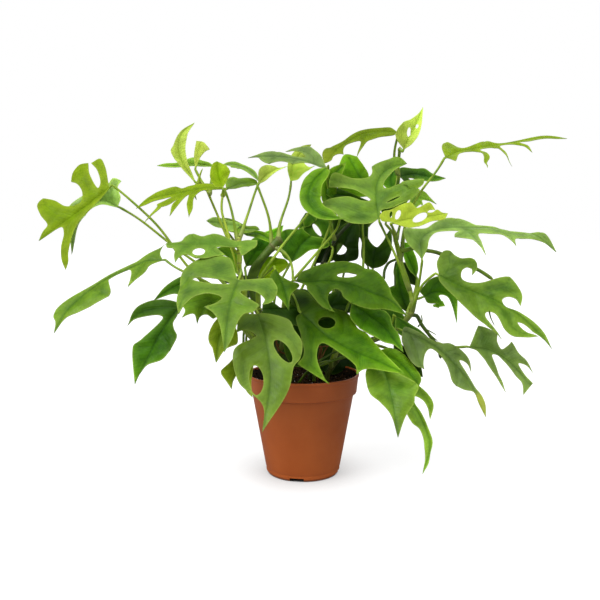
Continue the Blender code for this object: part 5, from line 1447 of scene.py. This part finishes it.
# Front: the large leaves that hide the soil and the front of the rim.

leaf("leaf_front_centre_big", "mature", on=("vine_centre", 0.46),
     stalk=[(-24, -12, 203), (-13, -24, 198), (-6, -36, 188)],
     midrib=[(-2, -42, 176), (9, -50, 167), (24, -61, 155), (47, -70, 143), (71, -77, 134),
             (96, -86, 123)],
     face=(0.05, -0.72, 0.69), fold=(6, 6), curl=(-10, -10),
     edge=[(-19, -2), (-24, -10), (-21, -19), (-15, -22), (6, -21), (29, -34),
           (48, -32), (59, -26), (71, -25), (94, -11), (121, 0, TIP), (108, 6), (84, 16),
           (80, 24, TIP), (75, 15), (40, 10), (44, 27), (58, 42), (65, 46, TIP), (38, 45, TIP),
           (37, 35), (33, 28), (22, 20), (1, 8)],
     holes=[(26, -11, 18, 14, -40)])
leaf("leaf_centre_broad", "mature", on=("vine_centre", 0.93),
     stalk=[(-21, -2, 239), (-14, -16, 230), (-10, -36, 219)],
     midrib=[(-7, -50, 209), (6, -51, 208), (26, -49, 209), (48, -52, 205), (67, -58, 198),
             (84, -64, 191), (98, -77, 178)],
     face=(0.02, -0.72, 0.69), fold=(6, 6), curl=(-8, -8),
     edge=[(4, -11), (33, -23), (44, -27), (54, -27), (61, -24), (67, -26),
           (80, -21), (89, -13), (96, -5), (120, 0, TIP), (99, 14), (72, 22), (52, 18), (47, 12),
           (40, 11), (29, 25), (48, 40, TIP), (22, 36), (14, 18), (11, 10), (10, 5)],
     holes=[(48, -10, 18, 6, -20)])
leaf("leaf_front_left_light", "light", on=("vine_left", 0.76),
     stalk=[(-63, -34, 221), (-60, -56, 218)],
     midrib=[(-62, -70, 211), (-67, -81, 197), (-70, -96, 177), (-71, -118, 149)],
     face=(-0.05, -0.78, 0.62), fold=(6, 6), curl=(-10, -10),
     edge=[(-22, 18), (-16, 43), (-4, 54), (8, 57), (18, 53), (28, 52), (41, 47, TIP),
           (32, 43), (24, 35), (20, 22), (23, 9), (29, 14), (33, 24, TIP), (39, 14), (50, 7),
           (79, 0, TIP), (66, -6), (46, -11), (39, -16), (37, -23), (26, -28, TIP), (13, -7),
           (9, -15), (10, -24), (16, -31), (25, -30, TIP), (21, -37), (2, -40), (-9, -31, TIP),
           (-2, -8)],
     holes=[(8, 25, 37, 5, 85)])
leaf("leaf_front_low", "light", on=("vine_left", 0.36), stalk=[(-54, -30, 186), (-48, -52, 184)],
     midrib=[(-44, -66, 178), (-37, -80, 159), (-32, -94, 140), (-30, -109, 119), (-36, -137, 83)],
     face=(0.02, -0.8, 0.6), fold=(7, 7), curl=(-10, -10),
     edge=[(-2, 14), (3, 20), (16, 25, TIP), (16, 16), (24, 8), (35, 31), (78, 28),
           (95, 6), (102, 2), (122, 0, TIP), (80, -17), (61, -22), (55, -28), (40, -33), (27, -29),
           (16, -27), (3, -9)],
     holes=[(72, 13, 33, 13, -5), (45, -14, 27, 11, -25)])

# Left.

leaf("leaf_left_dark", "dark", on=("vine_left", 0.29),
     stalk=[(-73, -31, 178), (-90, -33, 184), (-114, -28, 185)],
     midrib=[(-125, -27, 182), (-134, -32, 171), (-144, -42, 154), (-153, -52, 135),
             (-164, -67, 109)],
     face=(-0.1, -0.85, 0.52), fold=(9, 9), curl=(-6, -6),
     edge=[(0, 7), (21, 37), (42, 35, TIP), (33, 32), (20, 13), (20, 7), (49, 15),
           (56, 19), (63, 17), (93, 0, TIP), (80, 0), (71, -3), (59, -17), (34, -20), (26, -11),
           (20, -6), (12, -5)])
leaf("leaf_left_dark_behind", "dark", on=("vine_left", 0.34),
     stalk=[(-72, -14, 168), (-98, -17, 188)],
     midrib=[(-120, -14, 206), (-136, -16, 199), (-154, -21, 187)], face=(-0.1, -0.85, 0.5),
     edge=[(0, 7), (20, 6), (40, 0, TIP), (18, -8), (10, -14)])
leaf("leaf_left_long", "light", on=("vine_left", 0.4),
     stalk=[(-80, -21, 192), (-98, -22, 206), (-125, -19, 217), (-138, -12, 222)],
     midrib=[(-147, -8, 228), (-163, -7, 227), (-179, -14, 220), (-200, -24, 210),
             (-220, -39, 194), (-233, -54, 179), (-239, -74, 160)],
     face=(-0.05, -0.68, 0.73), fold=(5, 5), curl=(-8, -8),
     edge=[(4, 9), (3, 19), (-2, 24, TIP), (22, 5), (35, 4), (74, 3), (117, 11),
           (124, 9), (130, 4), (143, 0, TIP), (124, -4), (111, -13), (93, -19), (73, -23),
           (61, -3, TIP), (37, -2), (42, -18), (49, -27, TIP), (21, -14), (9, -6)])
leaf("leaf_left_level", "under", on=("vine_left", 0.93), stalk=[(-65, -24, 239)],
     midrib=[(-65, -42, 242), (-88, -37, 245), (-113, -37, 245), (-137, -38, 245)],
     face=(0, -0.6, 0.8), fold=(4, 4), curl=(-5, -5),
     edge=[(-9, -13), (-14, -3), (-18, 6), (-16, 14, TIP), (-6, 12), (4, 8),
           (29, 15), (37, 11), (49, 16), (55, 11), (58, 4), (73, 1, TIP), (71, -6), (64, -8),
           (63, -19), (61, -29, TIP), (58, -21), (51, -17), (42, -22), (31, -23), (7, -16, TIP),
           (20, -6), (10, -3)],
     holes=[(39, -13, 13, 11, 0)])
leaf("leaf_left_shade_fan", "mature", on=("vine_left", 0.42), stalk=[(-70, -36, 193)],
     midrib=[(-76, -52, 194), (-94, -54, 186), (-103, -64, 168)], face=(-0.1, -0.85, 0.5),
     edge=[(28, 23), (33, 17), (42, 17, TIP), (36, 12), (34, 7), (43, 0, TIP),
           (34, 0), (31, -6), (33, -13), (23, -17), (3, -9)])
leaf("leaf_left_olive_behind", "olive", on=("vine_left", 0.24), stalk=[(-68, -38, 177)],
     midrib=[(-74, -58, 173), (-81, -69, 155), (-83, -82, 133)], face=(0, -0.85, 0.5),
     edge=[(3, 8), (21, 11), (28, 9), (33, 5, TIP), (48, 0, TIP), (34, -8),
           (26, -18), (13, -16), (4, -8)])
leaf("leaf_left_olive_low", "olive", on=("vine_left", 0.12), stalk=[(-54, -40, 142)],
     midrib=[(-54, -56, 139), (-64, -63, 126), (-69, -75, 106)], face=(0, -0.85, 0.5),
     edge=[(6, 6), (18, 9), (27, 14), (35, 7), (42, 0, TIP), (32, 0), (26, -3),
           (35, -10), (42, -15), (47, -22, TIP), (35, -18), (13, -15), (3, -9)])
leaf("leaf_mid_left_level", "light", on=("vine_left", 0.84),
     stalk=[(-66, 6, 238), (-72, 14, 246), (-86, 24, 262)],
     midrib=[(-92, 30, 271), (-77, 23, 267), (-61, 15, 261), (-47, 12, 260)],
     face=(0, -0.55, 0.83),
     edge=[(6, -5), (35, -4), (46, -5), (51, 0, TIP), (44, 7), (26, 16), (11, 12)])

# Middle, in the shade behind the front leaves.

leaf("leaf_back_centre_upper", "dark", on=("vine_centre", 0.35),
     stalk=[(-29, 10, 199), (-17, 12, 214)],
     midrib=[(-13, 16, 225), (-3, 27, 242), (15, 41, 262), (7, 51, 280)], face=(0.1, -0.85, 0.5),
     edge=[(1, -10), (24, -26), (37, -15), (66, -13), (77, 0, TIP), (64, 4),
           (59, -5), (41, -11), (41, 0), (46, 13), (44, 23), (27, 13), (10, 7)])
leaf("leaf_centre_left_pointed", "mature", on=("vine_centre", 0.66), stalk=[(-29, -16, 223)],
     midrib=[(-28, -34, 219), (-19, -44, 201), (-14, -56, 180)], face=(0.05, -0.85, 0.5),
     edge=[(8, -2), (17, -8), (23, -16), (31, -5), (47, 0, TIP), (38, 4), (21, 13),
           (6, 9)])
leaf("leaf_centre_dark", "dark", on=("vine_centre", 0.3), stalk=[(-48, -12, 176)],
     midrib=[(-42, -24, 178), (-8, -24, 179), (23, -23, 181), (54, -21, 183)], face=(0, -0.8, 0.6),
     edge=[(1, -6), (10, -8), (20, -1), (29, -4), (30, -13), (37, -20), (47, -20), (58, -11),
           (83, -16), (91, -4), (98, 0, TIP), (91, 10), (77, 11), (60, 17), (31, 22), (17, 12),
           (0, 7)])
leaf("leaf_centre_right_dark", "dark", on=("vine_right", 0.1), stalk=[(42, -38, 174)],
     midrib=[(49, -37, 185), (67, -44, 173), (81, -52, 162), (96, -68, 142)],
     face=(0.1, -0.75, 0.65),
     edge=[(16, -8), (29, -15), (36, -14), (44, -8), (55, -7), (74, 0, TIP),
           (63, 4), (54, 13), (10, 17)])
leaf("leaf_back_mid_dark", "dark", on=("vine_back", 0.22), stalk=[(42, 18, 200), (45, 24, 214)],
     midrib=[(47, 34, 224), (47, 45, 243), (56, 58, 264)], face=(0, -0.85, 0.5),
     edge=[(1, -12), (15, -16), (27, -12), (40, -12), (51, -6), (55, 4), (44, 11),
           (4, 14)],
     holes=[(16, -5, 15, 13, 85)])
leaf("leaf_back_right_dark", "dark", on=("vine_right", 0.16),
     stalk=[(70, 6, 185), (75, 14, 206)],
     midrib=[(76, 20, 218), (80, 32, 238), (98, 47, 260)],
     face=(0.1, -0.85, 0.5),
     edge=[(-1, 0, TIP), (3.5, -8), (13.5, -13.5), (24.5, -15.5), (31.5, -16.5), (28, -7.5),
           (27.5, 0), (38, 2), (49, 0), (58, -0.5, TIP), (45.5, 9), (30, 16.5), (9.5, 15),
           (2.5, 7.5)])
leaf("leaf_right_shade_blue", "dark", on=("vine_right", 0.55),
     stalk=[(122, 6, 199)],
     midrib=[(122, 14, 210), (116, 19, 225), (107, 25, 245)],
     face=(0.15, -0.9, 0.35),
     edge=[(-1, -0.5, TIP), (7, -4.5), (16, -5.5), (26.5, -4), (41, 0, TIP), (37, 7), (27.5, 9),
           (16, 8), (5.5, 5)])

# Back: three plain leaves that lean away over the rear of the rim.

REAR_EDGE = [(-8, 12), (4, 28), (24, 34), (46, 30, TIP), (40, 17), (48, 10),
             (60, 18), (72, 18, TIP), (64, 8), (80, 5), (94, 0, TIP), (76, -8), (58, -12),
             (62, -26, TIP), (46, -24), (34, -12), (34, -26), (28, -34, TIP), (6, -28), (-8, -12)]
leaf("leaf_rear_left", "dark", on=("vine_centre", 0.5), stalk=[(-48, 34, 196)],
     midrib=[(-54, 50, 206), (-64, 78, 198), (-72, 102, 178), (-76, 118, 152)],
     face=(-0.2, 0.5, 0.84), edge=REAR_EDGE)
leaf("leaf_rear_right", "mature", on=("vine_back", 0.26), stalk=[(34, 44, 192)],
     midrib=[(42, 56, 202), (54, 82, 196), (62, 106, 178), (66, 122, 152)],
     face=(0.2, 0.5, 0.84), edge=REAR_EDGE)
leaf("leaf_rear_high", "mature", on=("vine_back", 0.68), stalk=[(72, 54, 282)],
     midrib=[(66, 68, 284), (58, 92, 278), (50, 114, 262), (44, 130, 238)],
     face=(0.05, 0.5, 0.86), edge=REAR_EDGE)

# Scene-only pieces: what the crown holds behind and between the leaves of the lists above.

stem("sheath_centre", radii=(5.6, 3.2),
     path=[(-54, 7, 210), (-49, 6, 221), (-41, 4, 232), (-34, 2, 241), (-25, 2, 251)])
stem("runner_behind_big", radii=(2.3, 1.9),
     path=[(101, 2, 236), (108, -1, 238), (117, 2, 240), (128, 4, 238),
           (144, 8, 235), (166, 10, 225), (187, 8, 217), (202, 4, 207)])
stem("green_stem_low", radii=(1.9, 1.7),
     path=[(12, 8, 94), (15, 8, 113), (32, 10, 118), (50, 14, 123)])
stem("dead_stalk", radii=(2.2, 1.8),
     path=[(16, 20, 94), (17, 18, 109), (18, 14, 120), (20, 12, 133)])
stem("dead_strip_left", radii=(1.1, 0.8),
     path=[(-29, 6, 142), (-27, 4, 133), (-23, 4, 128), (-16, 6, 126)])
stem("dead_strip_low", radii=(0.9, 0.6),
     path=[(-28, 8, 137), (-20, 6, 132), (-13, 8, 130)])
stem("dead_strip_right", radii=(1.0, 0.7),
     path=[(-20, 8, 141), (-16, 6, 133), (-14, 6, 120)])
stem("brown_stem_tall", radii=(1.1, 0.9),
     path=[(99, 10, 199), (99, 12, 212), (99, 11, 222), (102, 3, 229)])
stem("brown_stem_short", radii=(1.6, 1.4),
     path=[(87, 12, 207), (88, 14, 216), (92, 12, 224), (101, 3, 229)])
stem("root_upper", radii=(0.9, 0.5), path=[(122, -3, 157), (126, -4, 163), (125, -4, 170)])
stem("root_middle", radii=(0.8, 0.4), path=[(129, -2, 155), (135, -2, 152), (142, -2, 148)])
stem("root_lower", radii=(0.8, 0.4), path=[(133, -1, 151), (138, -2, 146), (144, -2, 141)])
stem("pale_stalk_a", radii=(1.4, 1.2),
     path=[(-63, -8, 124), (-63, -8, 141), (-62, -8, 154), (-57, -13, 164)])
stem("pale_stalk_b", radii=(1.3, 1.2),
     path=[(-59, -8, 124), (-60, -8, 144), (-59, -8, 152), (-55, -12, 159)])
stem("pale_stalk_c", radii=(1.2, 1.0),
     path=[(-57, -6, 126), (-56, -6, 142), (-54, -7, 148), (-53, -11, 154)])
stem("green_stem_fallen", radii=(1.5, 1.3),
     path=[(-5, 6, 94), (5, -6, 109), (18, -20, 118), (30, -24, 124), (45, -24, 130)])
stem("dead_strip_top", radii=(1.1, 0.6),
     path=[(8, -18, 139), (16, -24, 139), (27, -26, 140)])
stem("dead_strip_slant", radii=(0.9, 0.5),
     path=[(16, -24, 123), (20, -24, 129), (23, -25, 136), (28, -26, 143)])
stem("old_strip", radii=(1.2, 0.8),
     path=[(16, -25, 124), (27, -27, 131), (38, -27, 136)])
stem("thin_finger", radii=(0.8, 0.35),
     path=[(182, -57, 180), (184, -56, 173), (188, -56, 165)])
stem("crest_sheath", radii=(1.8, 0.5), path=[(-111, 9, 308), (-109, 9, 317), (-106, 9, 324)])
stem("crest_curl", radii=(1.9, 0.6),
     path=[(-112, 9, 308), (-115, 9, 302), (-115, 9, 297), (-113, 9, 291)])

# The shade_ leaves fill gaps deep in the crown; their brightness steps paint the light and shade
# there.
shade_leaf("shade_left_inner", "dark", on=("vine_left", 0.62), stalk=[(-60, 10, 212)],
     midrib=[(-61, 13, 221), (-49, 27, 240), (-23, 45, 264)], face=(0, -0.8, 0.6),
     edge=[(-2, 1, TIP), (10, -9), (22, -12), (32, -12), (44, -9), (55, -5), (68, 0, TIP),
           (55, 9), (41, 16), (22, 16), (6, 10)])
shade_leaf("shade_top_strip", "mature", on=("vine_left", 0.93), stalk=[(-67, 12, 249)],
     midrib=[(-67, 22, 257), (-49, 21, 256), (-28, 6, 245)], face=(0, -0.6, 0.8),
     edge=[(0, 1.5, TIP), (11.5, -3), (21, -4.5), (33.5, -5.5), (48, 0, TIP), (38.5, 5),
           (24.5, 7.5), (9, 7.5)])
shade_leaf("shade_olive_inner", "new", on=("vine_centre", 0.5), stalk=[(-50, 13, 197)],
     midrib=[(-48, 17, 204), (-38, 27, 220), (-16, 32, 223)], face=(0.1, -0.85, 0.5),
     edge=[(-0.5, 0.5, TIP), (11.5, -6.5), (20.5, -9), (27, -10.5), (33.5, -7), (41.5, -5),
           (45, 1, TIP), (40, 7), (34, 11.5), (23, 19), (2.5, 7.5)])
shade_leaf("shade_brown_holed", "dark", on=("vine_back", 0.42), stalk=[(34, 26, 231)],
     midrib=[(31, 33, 242), (17, 40, 257), (2, 51, 278)], face=(0.1, -0.85, 0.5),
     edge=[(0, 0, TIP), (9.5, -8.5), (19.5, -15), (31.5, -17.5), (40.5, -13), (50, 1, TIP),
           (46, 10), (34.5, 15), (26, 21), (10, 13.5)],
     holes=[(25, 0.5, 18, 6, 5)])
shade_leaf("shade_centre_back", "dark", on=("vine_back", 0.34), stalk=[(17, 34, 213)],
     midrib=[(15, 46, 223), (30, 59, 245), (44, 75, 271)], face=(0, -0.85, 0.5),
     edge=[(-2, 0, TIP), (13, -5), (30, -3), (47, -7), (64, -5), (68, 6, TIP), (47, 10),
           (30, 10), (15, 16), (5, 9)])
shade_leaf("shade_mid_top", "dark", on=("vine_back", 0.45), stalk=[(71, 34, 209)],
     midrib=[(73, 44, 219), (71, 57, 242), (71, 74, 270)], face=(0, -0.85, 0.5),
     edge=[(-1, 0, TIP), (11, -6), (32.5, -4), (43, -8.5), (58, -5), (59.5, 5.5, TIP), (39, 4),
           (18, 3.5)])
shade_leaf("shade_right_upper", "dark", on=("vine_right", 0.6), stalk=[(123, 10, 193)],
     midrib=[(123, 19, 200), (116, 26, 213), (109, 32, 224)], face=(0.1, -0.85, 0.5),
     edge=[(-1.5, 0.5, TIP), (5, -6.5), (16, -6.5), (31.5, -0.5, TIP), (27, 4.5), (17.5, 5),
           (6.5, 6)])
shade_leaf("shade_right_middle", "dark", on=("vine_right", 0.5), stalk=[(116, 8, 166)],
     midrib=[(115, 16, 170), (108, 29, 194), (105, 47, 224)], face=(0.1, -0.85, 0.5),
     edge=[(-2, 1, TIP), (6, -6), (20, -11), (28, -18), (32, -12), (35, -5), (50, -5),
           (64, -1, TIP), (56, 5), (42, 7), (29, 9), (13, 8)])
shade_leaf("shade_right_node", "dark", on=("vine_right", 0.42), stalk=[(108, 0, 158)],
     midrib=[(108, 3, 152), (98, 9, 164), (82, 14, 175)], face=(0.1, -0.85, 0.5),
     edge=[(-2, 0, TIP), (5, -7), (19, -7.5), (28.5, -4), (38, 0.5, TIP), (27.5, 8.5), (18, 12),
           (10.5, 10), (7, 1.5)])
shade_leaf("shade_right_shoulder", "dark", on=("vine_right", 0.4), stalk=[(101, -4, 162)],
     midrib=[(98, -6, 168), (112, -14, 158), (129, -22, 148)], face=(0.1, -0.7, 0.7),
     edge=[(-1.5, 0, TIP), (8.5, -3), (19, -3.5), (29, -3.5), (41.5, -0.5, TIP), (30, 9.5),
           (20, 15.5), (11, 14.5)])
shade_leaf("shade_right_low", "dark", on=("vine_right", 0.25), stalk=[(89, -16, 151)],
     midrib=[(94, -24, 145), (107, -35, 130), (119, -47, 115)], face=(0.1, -0.75, 0.65),
     edge=[(-1.5, 0.5, TIP), (5.5, -3.5), (18, -3.5), (30, -3), (38.5, -4), (48.5, 1, TIP),
           (42.5, 10.5), (25.5, 12), (10.5, 9)])
shade_leaf("shade_in_window", "dark", on=("vine_back", 0.03), stalk=[(17, 30, 97)],
     midrib=[(22, 34, 102), (35, 41, 117), (56, 44, 122)], face=(0, -0.9, 0.45),
     edge=[(-3.5, -1, TIP), (8.5, -14.5), (17.5, -23), (23.5, -18), (32.5, -10.5),
           (43.5, 1.5, TIP), (46, 18), (37.5, 24), (5, 14.5)])
shade_leaf("shade_in_left_window", "dark", on=("vine_centre", 0.03), stalk=[(-18, 12, 103)],
     midrib=[(-21, 14, 112), (-22, 21, 126), (-29, 29, 142)], face=(0, -0.9, 0.45),
     edge=[(-3, 2.5, TIP), (6.5, -7), (24, -9), (38.5, -2, TIP), (33, 8), (21.5, 12.5),
           (10, 12.5), (-1, 9)])
shade_leaf("shade_level_left", "light", on=("vine_left", 0.9), stalk=[(-67, 6, 253)],
     midrib=[(-67, 14, 264), (-85, 16, 266), (-104, 19, 269)], face=(0, -0.7, 0.7),
     edge=[(-0.5, -5.5, TIP), (1, 3), (12.5, 5), (23.5, 7), (32.5, 6.5), (38, 0.5, TIP),
           (27.5, -6), (16, -8), (7, -10)])
shade_leaf("shade_left_stems", "mature", on=("vine_left", 0.5), stalk=[(-66, 2, 204)],
     midrib=[(-68, 7, 210), (-74, 19, 226), (-95, 29, 240)], face=(0, -0.8, 0.6),
     edge=[(-1, 0.5, TIP), (9, -4.5), (28.5, -2), (38, -3), (49, -1, TIP), (39.5, 8), (28, 10),
           (17, 5.5)])
shade_leaf("shade_curl_inner", "mature", on=("vine_centre", 0.3), stalk=[(33, 8, 278)],
     midrib=[(27, 3, 282), (26, 13, 306), (44, 26, 330)], face=(0.1, -0.9, 0.4),
     edge=[(-1, 2.5, TIP), (7.5, -5.5), (20.5, -6), (33, -7.5), (46, -7.5), (63, 0.5, TIP),
           (51, 5), (34.5, 9.5), (12, 10.5), (1, 10)])
shade_leaf("shade_curl_fingers", "dark", on=("vine_back", 0.55), stalk=[(25, 14, 287)],
     midrib=[(22, 12, 299), (43, 9, 296), (71, 1, 288)], face=(0, -0.7, 0.7),
     edge=[(0, 9.5, TIP), (-0.5, -5), (9, -9), (23.5, -6), (41, -2.5), (52.5, -1, TIP),
           (33.5, 7.5), (15.5, 11.5)])
shade_leaf("shade_crest_right", "dark", on=("vine_back", 0.8), stalk=[(103, 38, 299)],
     midrib=[(100, 42, 303), (98, 49, 315), (103, 56, 327)], face=(0, -0.85, 0.5),
     edge=[(-2, 0.5, TIP), (5, -7), (14.5, -10), (22, -7.5), (31.5, 0, TIP), (25.5, 6.5),
           (4.5, 6.5)])
shade_leaf("shade_behind_big", "dark", on=("vine_centre", 0.3), stalk=[(-18, -6, 179)],
     midrib=[(-14, -14, 187), (0, -16, 155), (0, -20, 117)], face=(0, -1, 0.08),
     edge=[(1, 4, TIP), (-7, -11), (3, -20), (17, -29), (28, -43), (37, -47, TIP), (42, -38),
           (46, -22), (51, -9), (63, -6), (74, 0, TIP), (72, 11), (59, 20), (27, 21)])
shade_leaf("shade_large_slit", "dark", on=("vine_right", 0.85), stalk=[(94, 4, 263)],
     midrib=[(88, 6, 268), (92, 14, 283), (106, 23, 302)], face=(0, -0.9, 0.45),
     edge=[(-0.5, 0, TIP), (8, -5.5), (20, -9.5), (29.5, -10.5), (39, -8), (47, 1, TIP),
           (42, 11.5), (29.5, 12.5), (21, 8), (10.5, 6)])


grow_stems()
pot()
soil()
scatter("soil_crumbs", "soil", 900, ((1.2, 4.0), (1.0, 3.2), (0.8, 2.2)), 0.2)
scatter("bark_chips", "bark", 260, ((1.5, 7.0), (1.0, 3.0), (0.5, 1.4)), 0.3)
scatter("perlite_grains", "perlite", 46, ((0.9, 2.2), (0.8, 2.0), (0.7, 1.6)), 0.35)
fibres(220)
studio()
